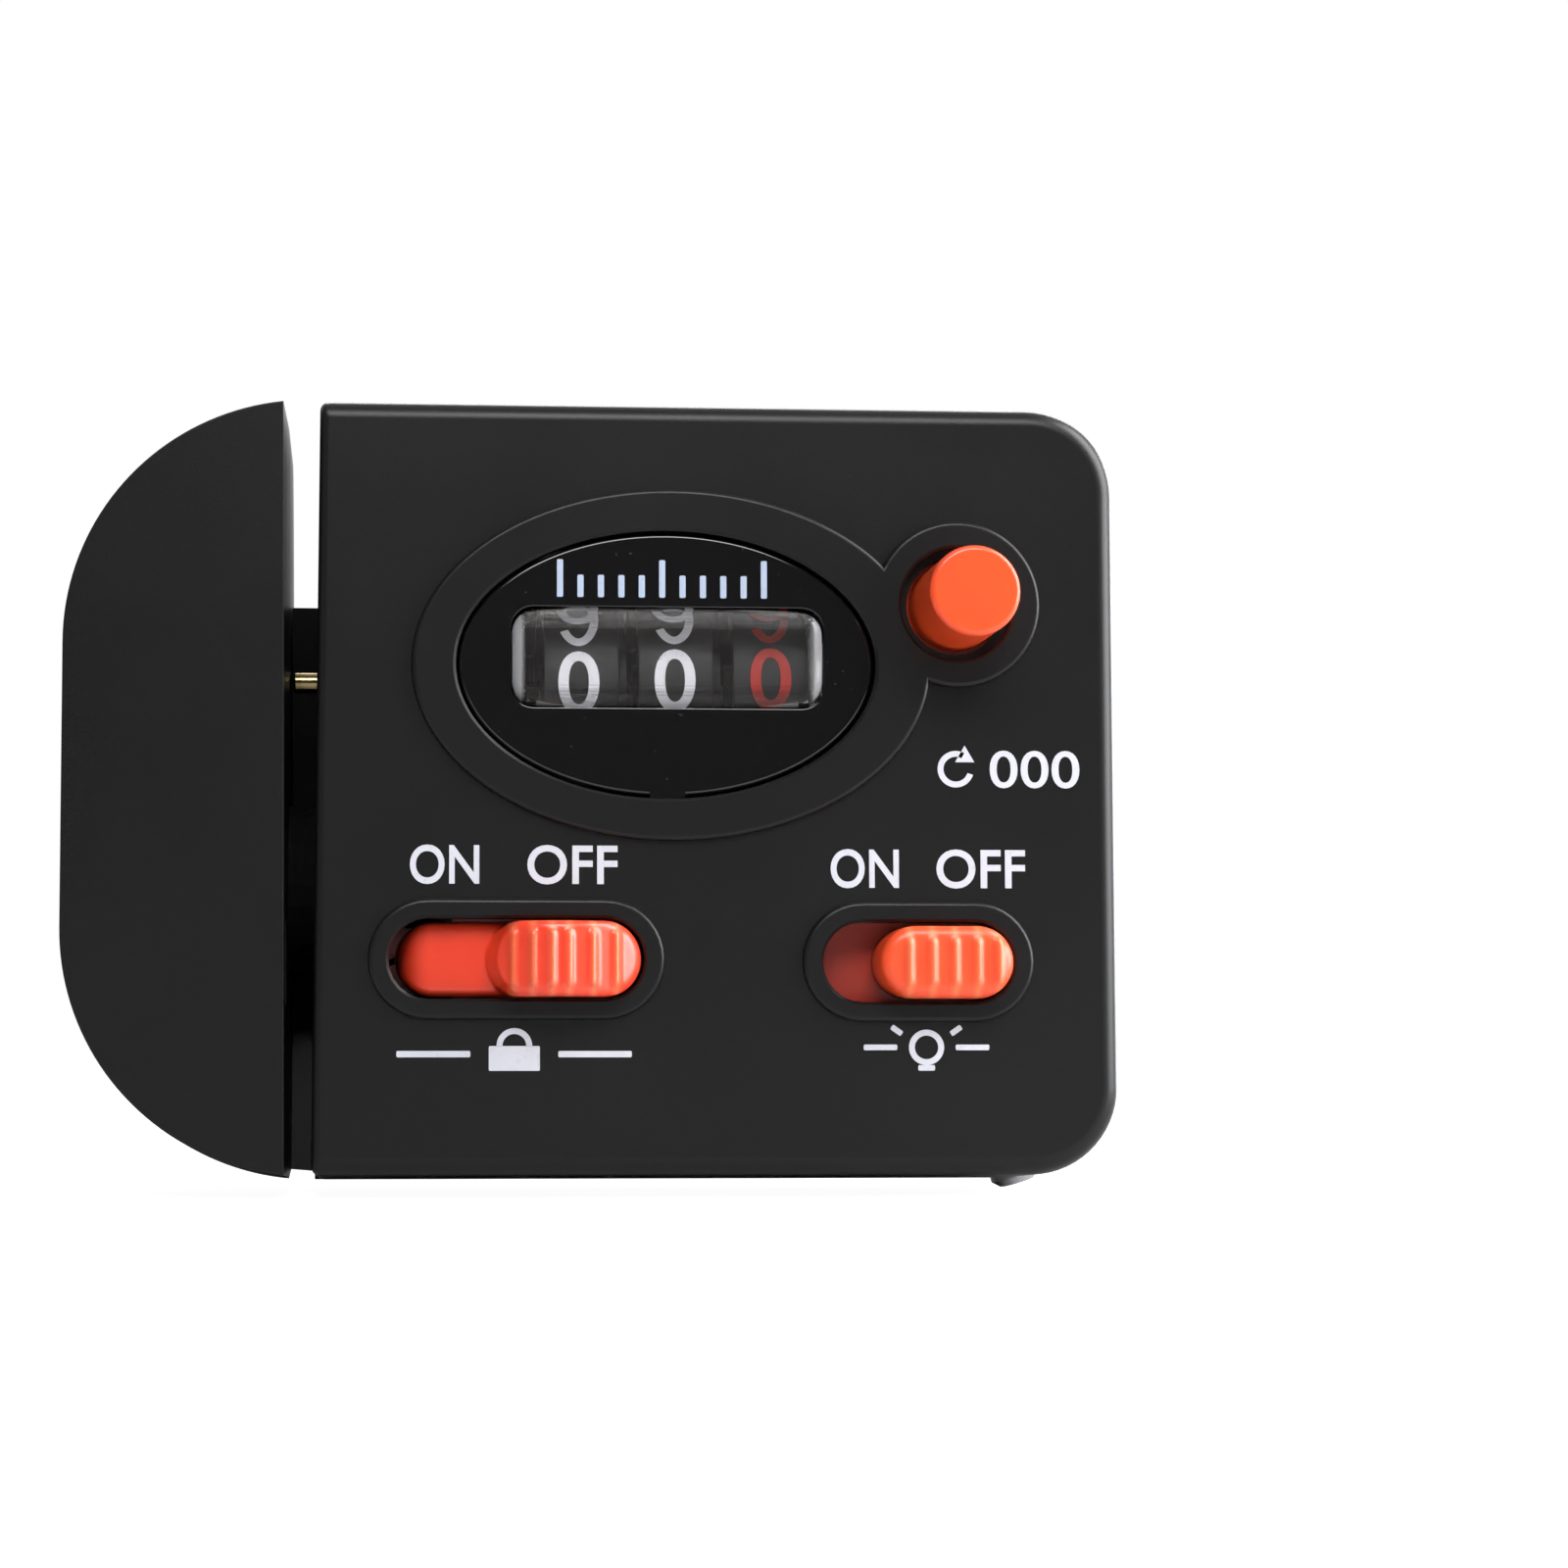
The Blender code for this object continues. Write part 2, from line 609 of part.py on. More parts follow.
def cell_room(name, front, back):
    """The shelf above the coin cells and the wall beside them."""
    top = SHELF_BOTTOM + SHELF_THICKNESS
    right = CASE_RIGHT - WALL / 2
    shelf = shape(f"{name}_shelf", box((DOOR_LEFT - SHELF_THICKNESS / 2, front, SHELF_BOTTOM),
                                       (right, back, top)))
    side = shape(f"{name}_cell_wall", box((DOOR_LEFT - SHELF_THICKNESS, front, WALL / 2),
                                          (DOOR_LEFT + FIT, back, top)))
    return shelf, side


def raised_ring(name, outline):
    """A low plateau on the face, with a sloped edge. The outline is a function of its inset."""
    return shape(name, loft([
        at_depth(outline(0.0), FACE_WALL / 2), at_depth(outline(0.0), 0.0),
        at_depth(outline(RING_SLOPE), -RING_RISE)]))


def make_front_cover():
    cover = shape("front_cover", loft(front_sections(body_outline, 0.0, 0.0)), CASE_PLASTIC)
    lens_z = DRUM_HEIGHT + LENS_RISE
    ring_width, ring_height = LENS_HALF_WIDTH + RING_MARGIN_WIDE, LENS_HALF_HEIGHT + RING_MARGIN_HIGH
    oval_ring = raised_ring("oval_ring", lambda inset: oval(
        LENS_X + RING_SHIFT, lens_z, ring_width - inset, ring_height - inset, 36))
    button_ring = raised_ring("button_ring", lambda inset: oval(
        BUTTON_X, BUTTON_HEIGHT, BUTTON_RING_RADIUS - inset, BUTTON_RING_RADIUS - inset, 24))
    lock_ring = raised_ring("lock_ring", lambda inset: stadium(
        LOCK_LEFT - SLIDE_RING + inset, LOCK_RIGHT + SLIDE_RING - inset, SLIDE_HEIGHT,
        OPENING_HALF_HEIGHT + SLIDE_RING - inset))
    light_ring = raised_ring("light_ring", lambda inset: stadium(
        LIGHT_LEFT - SLIDE_RING + inset, LIGHT_RIGHT + SLIDE_RING - inset, SLIDE_HEIGHT,
        OPENING_HALF_HEIGHT + SLIDE_RING - inset))
    lens_hole = shape("lens_hole", prism(
        oval(LENS_X, lens_z, LENS_HALF_WIDTH + FIT, LENS_HALF_HEIGHT + FIT, 36), "y", -OVERRUN,
        FACE_WALL + OVERRUN))
    button_hole = shape("button_hole", rod(
        (BUTTON_X, -OVERRUN, BUTTON_HEIGHT), (BUTTON_X, FACE_WALL + OVERRUN, BUTTON_HEIGHT),
        BUTTON_HOLE_RADIUS,
        ROUND_STEPS))
    lock_hole = shape("lock_hole", prism(
        stadium(LOCK_LEFT, LOCK_RIGHT, SLIDE_HEIGHT, OPENING_HALF_HEIGHT), "y", -OVERRUN,
        FACE_WALL + OVERRUN))
    light_hole = shape("light_hole", prism(
        stadium(LIGHT_LEFT, LIGHT_RIGHT, SLIDE_HEIGHT, OPENING_HALF_HEIGHT), "y", -OVERRUN,
        FACE_WALL + OVERRUN))
    rim = PARTING_DEPTH - GAP / 2
    add(cover, oval_ring, button_ring, lock_ring, light_ring)
    cut(cover, FRONT_CAVITY, lens_hole, button_hole, lock_hole, light_hole,
        tongue_window("front_tongue_window", 1.0),
        WHEEL_POCKET)
    add(cover, *cell_room("front", FACE_WALL / 2, rim))
    cut(cover, DOOR_OPENING)
    posts(cover, "front_boss", FRONT_SCREWS, SCREW_BOSS_RADIUS - GAP, SCREW_RADIUS + GAP, rim,
          SCREW_TIP_DEPTH - GAP)
    posts(cover, "frame_post", FRAME_POSTS, POST_RADIUS, SCREW_RADIUS + GAP, FRAME_LUG_DEPTH - GAP,
          FACE_WALL * 2)
    posts(cover, "board_post", BOARD_POSTS, POST_RADIUS, SCREW_RADIUS + GAP, BOARD_DEPTH - GAP, FACE_WALL * 2)
    add(cover, shape("leaf_post", rod(
        (LEAF_POST_X, FACE_WALL / 2, SLIDE_HEIGHT), (LEAF_POST_X, LEAF_DEPTH - GAP, SLIDE_HEIGHT),
        POST_RADIUS)))
    add(cover, shape("leaf_peg", rod(
        (LEAF_POST_X, LEAF_DEPTH - GAP * 2, SLIDE_HEIGHT),
        (LEAF_POST_X, LEAF_DEPTH + LEAF_THICKNESS * 2, SLIDE_HEIGHT),
        LEAF_PEG_RADIUS)))
    return cover


LEAF_PEG_RADIUS = 0.7 * MM


def make_end_cover():
    cover = shape("end_cover", loft(front_sections(end_outline, 0.0, 0.0)), CASE_PLASTIC)
    cut(cover, END_CAVITY, tongue_window("end_tongue_window", -1.0), WHEEL_POCKET)
    posts(cover, "end_boss", END_SCREWS, SCREW_BOSS_RADIUS - GAP, SCREW_RADIUS + GAP, PARTING_DEPTH - GAP / 2,
          SCREW_TIP_DEPTH - GAP)
    return cover


def door_screw_frame():
    """The middle of the lower right corner arc and the outward direction of the door screw."""
    centre = Vector((CASE_RIGHT - CORNER_RADIUS, DOOR_SCREW_DEPTH, CORNER_RADIUS))
    outward = Vector((math.sin(DOOR_SCREW_ANGLE), 0.0, -math.cos(DOOR_SCREW_ANGLE)))
    return centre, outward


DOOR_SCREW_CENTRE, DOOR_SCREW_OUTWARD = door_screw_frame()
DOOR_SURFACE = CORNER_RADIUS - rear_inset(DOOR_SCREW_DEPTH)
DOOR_TOP = CORNER_RADIUS - FACE_ROUND
DOOR_OPENING = shape("door_opening", box(
    (DOOR_LEFT, DOOR_FRONT, -OVERRUN * 3), (DOOR_RIGHT, DOOR_BACK, DOOR_TOP)))
STUD_BOSS_START = -10.2 * MM
STUD_SEAT = STUD_BOSS_START - GAP
JAW_OUTER = ROD_RADIUS + JAW_DEPTH


def make_rear_shell():
    lead = PARTING_DEPTH - OVERRUN * 2
    outer = [at_depth(case_outline(rear_inset(lead)), lead),
             at_depth(case_outline(rear_inset(REAR_END)), REAR_END)]
    shell = shape("rear_shell", loft(outer), CASE_PLASTIC)
    back = shape("case_back", prism(back_profile(0.0), "x", -CASE_LEFT * 2, CASE_RIGHT + CASE_LEFT))
    keep(shell, back)
    soften = shell.modifiers.new("soft_back_edges", "BEVEL")
    soften.width = BACK_ROUND
    soften.segments = 2
    soften.limit_method = "ANGLE"
    soften.angle_limit = math.radians(40.0)
    face = shape("parting_cut", box(
        (-CASE_LEFT * 2, -OVERRUN, -CASE_HEIGHT), (CASE_RIGHT * 2, PARTING_DEPTH + GAP / 2, CASE_HEIGHT * 2)))
    cut(shell, face)
    saddle_outline = rounded(
        [(-CLAMP_SIDE, -BACK_DEPTH / 2), (CLAMP_REACH, -BACK_DEPTH / 2),
         (CLAMP_REACH, SADDLE_WING - ROD_RADIUS), (-CLAMP_SIDE, SADDLE_WING - ROD_RADIUS)],
        [CLAMP_CORNER / 2, CLAMP_CORNER / 2, CLAMP_CORNER, CLAMP_CORNER], [2, 2, 3, 3])
    add(shell, shape("saddle_block", prism(saddle_outline, "z", -CLAMP_HALF_LENGTH, CLAMP_HALF_LENGTH), None,
                     CLAMP))
    cut(shell, REAR_CAVITY, REAR_END_CAVITY)
    channel = CLAMP_HALF_LENGTH + FIT
    cut(shell, shape("rod_channel", rod((0.0, 0.0, -channel), (0.0, 0.0, channel * 2),
                                        ROD_RADIUS + PAD_THICKNESS + GAP, ROUND_STEPS), None, CLAMP))
    low, high = -OVERRUN * 3, CASE_HEIGHT + OVERRUN * 3
    floor = WALL + GAP * 2
    bend = ROD_HEIGHT + (SLOT_DEPTH + floor - lower_back_depth(ROD_HEIGHT)) / math.tan(ROD_TILT)
    slot_side = [(-OVERRUN, low), (lower_back_depth(low) - floor, low), (SLOT_DEPTH, bend),
                 (SLOT_DEPTH, SLOT_OPEN_HEIGHT), (BACK_DEPTH * 2, SLOT_OPEN_HEIGHT), (BACK_DEPTH * 2, high),
                 (-OVERRUN, high)]
    slot = shape("line_slot", loft([
        [(-slot_half(z), y, z) for y, z in slot_side], [(slot_half(z), y, z) for y, z in slot_side]]))
    rim = PARTING_DEPTH + GAP / 2
    add(shell, *cell_room("rear", rim, back_depth(WALL) - WALL / 2))
    cut(shell, slot, WHEEL_POCKET, DOOR_OPENING)
    for index, (x, z) in enumerate(CASE_SCREWS, 1):
        back_end = back_depth(z) - WALL / 2
        add(shell, shape(f"rear_boss_{index}", rod((x, rim, z), (x, back_end, z), SCREW_BOSS_RADIUS)))
    add(shell, shape("stud_boss", rod((STUD_X, STUD_BOSS_START, -STUD_DROP),
                                      (STUD_X, -ROD_RADIUS, -STUD_DROP),
                                      STUD_HEAD_RADIUS + WALL), None, CLAMP))
    start = DOOR_SCREW_CENTRE + DOOR_SCREW_OUTWARD * (DOOR_SURFACE - WALL - GAP * 2)
    end = DOOR_SCREW_CENTRE + DOOR_SCREW_OUTWARD * GAP
    add(shell, shape("door_boss", rod(start, end, DOOR_BOSS_RADIUS)))
    add(shell, shape("door_boss_rib", box(
        (DOOR_SCREW_CENTRE.x, DOOR_SCREW_DEPTH - WALL / 3, DOOR_TOP),
        (CASE_RIGHT - WALL / 2, DOOR_SCREW_DEPTH + WALL / 3, SHELF_BOTTOM + OVERRUN / 2))))
    for index, (x, z) in enumerate(CASE_SCREWS, 1):
        wide, narrow = SCREW_HEAD_RADIUS + GAP, SCREW_RADIUS + GAP
        profile = [(0.0, 0.0), (narrow, 0.0), (narrow, SCREW_SEAT_DEPTH - rim + OVERRUN),
                   (wide, SCREW_SEAT_DEPTH - rim + OVERRUN), (wide, BACK_DEPTH), (0.0, BACK_DEPTH)]
        cut(shell, turned(f"screw_hole_{index}", profile, origin=(x, rim - OVERRUN, z), axis="y",
                          steps=FINE_STEPS))
    cut(shell, shape("stud_hole", rod((STUD_X, -BACK_DEPTH / 2, -STUD_DROP), (STUD_X, 0.0, -STUD_DROP),
                                      STUD_RADIUS + GAP), None, CLAMP))
    cut(shell, shape("door_screw_hole", rod(start + DOOR_SCREW_OUTWARD * OVERRUN,
                                            end + DOOR_SCREW_OUTWARD * GAP,
                                            DOOR_SCREW_RADIUS + FIT)))
    bush_hole = WHEEL_WIDTH / 2 + WALL * 2
    cut(shell, shape("bush_holes", rod((-bush_hole, WHEEL_DEPTH, WHEEL_HEIGHT),
                                       (bush_hole, WHEEL_DEPTH, WHEEL_HEIGHT),
                                       BUSH_RADIUS + FIT)))
    cut(shell, shape("keeper_hole", rod((0.0, KEEPER_DEPTH, KEEPER_HEIGHT),
                                        (WALL * 3, KEEPER_DEPTH, KEEPER_HEIGHT),
                                        KEEPER_RADIUS + FIT)))
    return shell


BUSH_RADIUS = 1.6 * MM
BUSH_FLANGE = 0.8 * MM


# Lens and light guide

def make_lens():
    lens_z = DRUM_HEIGHT + LENS_RISE
    window_z = DRUM_HEIGHT + WINDOW_RISE
    back = LENS_FRONT + LENS_THICKNESS
    lens = shape("window_lens", prism(
        oval(LENS_X, lens_z, LENS_HALF_WIDTH, LENS_HALF_HEIGHT, 36), "y", LENS_FRONT, back), LENS_PLASTIC)
    curve = (WINDOW_HALF_HEIGHT ** 2 + WINDOW_BULGE ** 2) / (2 * WINDOW_BULGE)
    bar = rounded(
        [(LENS_X - WINDOW_HALF_WIDTH, window_z - WINDOW_HALF_HEIGHT),
         (LENS_X + WINDOW_HALF_WIDTH, window_z - WINDOW_HALF_HEIGHT),
         (LENS_X + WINDOW_HALF_WIDTH, window_z + WINDOW_HALF_HEIGHT),
         (LENS_X - WINDOW_HALF_WIDTH, window_z + WINDOW_HALF_HEIGHT)],
        [WINDOW_HALF_HEIGHT / 2] * 4, [3] * 4)
    window = shape("window_bar", prism(bar, "y", LENS_FRONT - WINDOW_BULGE - FIT, back - FIT))
    bulge = shape("window_bulge", rod(
        (LENS_X - WINDOW_HALF_WIDTH - OVERRUN, curve - WINDOW_BULGE + LENS_FRONT, window_z),
        (LENS_X + WINDOW_HALF_WIDTH + OVERRUN, curve - WINDOW_BULGE + LENS_FRONT, window_z), curve, 48))
    keep(window, bulge)
    add(lens, window)
    return lens


GUIDE_HALF_WIDTH = 3.3 * MM
GUIDE_THICKNESS = 1.0 * MM
LAMP_DROP_SHARE = 0.1982
LAMP_DROP = CASE_HEIGHT * LAMP_DROP_SHARE


def make_light_guide():
    front = LENS_FRONT + LENS_THICKNESS + GAP
    low, high = DRUM_HEIGHT - LAMP_DROP - LAMP_RADIUS, DRUM_HEIGHT - DRUM_RADIUS * 0.6
    side = [(front, low), (front + GUIDE_THICKNESS * 1.4, low), (front + GUIDE_THICKNESS, high),
            (front, high)]
    return shape("light_guide", prism(side, "x", DRUM_X - GUIDE_HALF_WIDTH, DRUM_X + GUIDE_HALF_WIDTH),
                 LENS_PLASTIC)


# Gears

TOOTH_ROOT_SHARE = 0.30
TOOTH_TIP_SHARE = 0.13
ADDENDUM_SHARE = 0.85
DEDENDUM_SHARE = 1.10


def gear_outline(teeth, module, tooth_angle):
    """Outline in (y, z) of a straight-flanked gear round the origin, with a tooth at the given angle."""
    pitch = math.tau / teeth
    tip = module * (teeth / 2 + ADDENDUM_SHARE)
    root = module * (teeth / 2 - DEDENDUM_SHARE)
    points = []
    for tooth in range(teeth):
        middle = tooth_angle + pitch * tooth
        for radius, turn in ((root, -TOOTH_ROOT_SHARE), (tip, -TOOTH_TIP_SHARE),
                             (tip, TOOTH_TIP_SHARE), (root, TOOTH_ROOT_SHARE)):
            angle = middle + pitch * turn
            points.append((radius * math.cos(angle), radius * math.sin(angle)))
    return points


def direction(start, end):
    return math.atan2(end[1] - start[1], end[0] - start[0])


def gear(name, teeth, module, tooth_angle, centre, low, high, surface=None):
    outline = [(centre[0] + y, centre[1] + z) for y, z in gear_outline(teeth, module, tooth_angle)]
    return shape(name, prism(outline, "x", low, high), surface, origin=(0.0, centre[0], centre[1]))


def bore(name, centre, low, high, radius):
    return shape(name, rod((low - OVERRUN, *centre), (high + OVERRUN, *centre), radius))


DRUM_DEPTH = LENS_FRONT + LENS_THICKNESS + DRUM_CLEARANCE + DRUM_RADIUS
DRUM_AXIS = (DRUM_DEPTH, DRUM_HEIGHT)
WHEEL_AXIS = (WHEEL_DEPTH, WHEEL_HEIGHT)


def idler_place():
    """The idler's axis, level in reach from the wheel axle and the drum shaft, on the rear side."""
    dy, dz = DRUM_AXIS[0] - WHEEL_AXIS[0], DRUM_AXIS[1] - WHEEL_AXIS[1]
    span = math.hypot(dy, dz)
    reach = span * GEAR_REACH_SHARE
    bend = math.sqrt(reach ** 2 - span ** 2 / 4)
    return (WHEEL_AXIS[0] + dy / 2 + bend * dz / span, WHEEL_AXIS[1] + dz / 2 - bend * dy / span), reach


IDLER_AXIS, GEAR_REACH = idler_place()
GEAR_MODULE = 2 * GEAR_REACH / (GEAR_TEETH + PINION_TEETH)
TRANSFER_PITCH_RADIUS = DRUM_RADIUS * TRANSFER_PITCH_SHARE
TRANSFER_MODULE = 2 * TRANSFER_PITCH_RADIUS / DRUM_TEETH
TRANSFER_REACH = TRANSFER_MODULE * (DRUM_TEETH + TRANSFER_TEETH) / 2
TRANSFER_AXIS = (DRUM_DEPTH + TRANSFER_REACH * math.cos(TRANSFER_ANGLE),
                 DRUM_HEIGHT + TRANSFER_REACH * math.sin(TRANSFER_ANGLE))
DRUM_HUB_RADIUS = 2.2 * MM
DRUM_WEB = 1.0 * MM
DRUM_RIM = 1.1 * MM
DRUM_RING = 0.6 * MM
CARRY_WIDTH = 0.55 * MM
CARRY_RADIUS = DRUM_RADIUS * 0.70
CARRY_TIP = DRUM_RADIUS * 0.765
CARRY_WEB = 0.35 * MM

DRUM_GEAR_START = DRUM_X + DRUM_PITCH + DRUM_WIDTH / 2 + GAP
IDLER_PINION_START = DRUM_GEAR_START - FIT
IDLER_GEAR_START = IDLER_PINION_START + GEAR_WIDTH + GAP * 3
IDLER_GEAR_END = IDLER_GEAR_START + GEAR_WIDTH
CHEEK = 1.0 * MM
RIGHT_CHEEK = IDLER_GEAR_END + GAP * 2.6
LEFT_CHEEK = DRUM_X - DRUM_PITCH - DRUM_WIDTH / 2 - CHEEK * 2
SHAFT_END = RIGHT_CHEEK + CHEEK


def make_drum(name, x, has_ring, has_carry):
    """A number drum: rim, web and hub, with its driven teeth on the right and its carry teeth on the left."""
    half = DRUM_WIDTH / 2
    hole = DRUM_SHAFT_RADIUS + FIT
    rim_inner = DRUM_RADIUS - DRUM_RIM
    profile = [
        (hole, -half), (DRUM_HUB_RADIUS, -half), (DRUM_HUB_RADIUS, half - DRUM_WEB),
        (rim_inner, half - DRUM_WEB),
        (rim_inner, -half), (DRUM_RADIUS, -half), (DRUM_RADIUS, half), (hole, half)]
    drum = turned(name, profile, DRUM_PLASTIC, origin=(x, *DRUM_AXIS), axis="x", steps=20)
    if has_ring:
        ring = gear(f"{name}_ring", DRUM_TEETH, TRANSFER_MODULE, TRANSFER_ANGLE + math.pi / DRUM_TEETH,
                    DRUM_AXIS,
                    x + half - FIT, x + half + DRUM_RING)
        add(drum, ring)
        cut(drum, bore(f"{name}_ring_bore", DRUM_AXIS, x + half - FIT, x + half, hole))
    if has_carry:
        add(drum, carry_disc(name, x - half))
        cut(drum, bore(f"{name}_carry_bore", DRUM_AXIS, x - half - CARRY_WIDTH, x, hole))
    return drum


def carry_disc(name, end):
    """The small disc with two teeth that moves the next drum on once a turn."""
    points = []
    steps = 24
    for index in range(steps):
        turn = math.tau * index / steps
        radius = CARRY_TIP if index in (3, 5) else CARRY_RADIUS
        for share in (-0.3, 0.3):
            angle = turn + math.tau / steps * share
            points.append((DRUM_AXIS[0] + radius * math.cos(angle), DRUM_AXIS[1] + radius * math.sin(angle)))
    return shape(f"{name}_carry", prism(points, "x", end - CARRY_WIDTH, end + CARRY_WEB))


def make_drums():
    make_drum("tens_drum", DRUM_X - DRUM_PITCH, True, False)
    make_drum("ones_drum", DRUM_X, True, True)
    make_drum("tenths_drum", DRUM_X + DRUM_PITCH, False, True)
    start, end = DRUM_GEAR_START, DRUM_GEAR_START + GEAR_WIDTH
    gap_angle = direction(DRUM_AXIS, IDLER_AXIS) + math.pi / GEAR_TEETH
    drum_gear = gear("drum_gear", GEAR_TEETH, GEAR_MODULE, gap_angle, DRUM_AXIS, start, end, GEAR_PLASTIC)
    cut(drum_gear, bore("drum_gear_bore", DRUM_AXIS, start, end, DRUM_SHAFT_RADIUS + FIT))
    shape("drum_shaft", rod((LEFT_CHEEK + FIT, *DRUM_AXIS), (SHAFT_END, *DRUM_AXIS), DRUM_SHAFT_RADIUS),
          STEEL)


def make_transfer_pinions():
    for index, x in enumerate((DRUM_X - DRUM_PITCH, DRUM_X), 1):
        start = x + DRUM_WIDTH / 2 + FIT
        end = x + DRUM_PITCH - DRUM_WIDTH / 2 - FIT
        name = f"transfer_pinion_{index}"
        pinion = gear(name, TRANSFER_TEETH, TRANSFER_MODULE, TRANSFER_ANGLE + math.pi, TRANSFER_AXIS, start,
                      end,
                      GEAR_PLASTIC)
        cut(pinion, bore(f"{name}_bore", TRANSFER_AXIS, start, end, PINION_SHAFT_RADIUS + FIT))
    shape("pinion_shaft", rod((LEFT_CHEEK + FIT, *TRANSFER_AXIS), (SHAFT_END, *TRANSFER_AXIS),
                              PINION_SHAFT_RADIUS),
          STEEL)


def make_idler():
    gap_angle = direction(IDLER_AXIS, WHEEL_AXIS) + math.pi / GEAR_TEETH
    idler = gear("idler_gear", GEAR_TEETH, GEAR_MODULE, gap_angle, IDLER_AXIS, IDLER_GEAR_START,
                 IDLER_GEAR_END,
                 GEAR_PLASTIC)
    pinion = gear("idler_pinion", PINION_TEETH, GEAR_MODULE, direction(IDLER_AXIS, DRUM_AXIS), IDLER_AXIS,
                  IDLER_PINION_START, IDLER_GEAR_START + FIT)
    add(idler, pinion)
    cut(idler, bore("idler_bore", IDLER_AXIS, IDLER_PINION_START, IDLER_GEAR_END, IDLER_SHAFT_RADIUS + FIT))
    shape("idler_shaft", rod((IDLER_PINION_START, *IDLER_AXIS), (SHAFT_END, *IDLER_AXIS), IDLER_SHAFT_RADIUS),
          STEEL)


IDLER_SHAFT_RADIUS = 0.5 * MM
CHEEK_MARGIN = 2.6 * MM


def hull(circles, radius, steps=4):
    """Outline round a convex chain of places, given anticlockwise, at a radius."""
    points = []
    for index, place in enumerate(circles):
        before, after = circles[index - 1], circles[(index + 1) % len(circles)]
        start = direction(before, place) - math.pi / 2
        end = direction(place, after) - math.pi / 2
        sweep = (end - start) % math.tau
        for step in range(steps + 1):
            angle = start + sweep * step / steps
            points.append((place[0] + radius * math.cos(angle), place[1] + radius * math.sin(angle)))
    return points


WEB_DEPTH = TRANSFER_AXIS[0] + TRANSFER_MODULE * (TRANSFER_TEETH / 2 + 1) + GAP * 3


def frame_stay(name, x, front, back, low, high):
    """A stay in the plane of a cheek, a little thinner than it."""
    return shape(name, box((x + FIT / 2, front, low), (x + CHEEK - FIT / 2, back, high)))


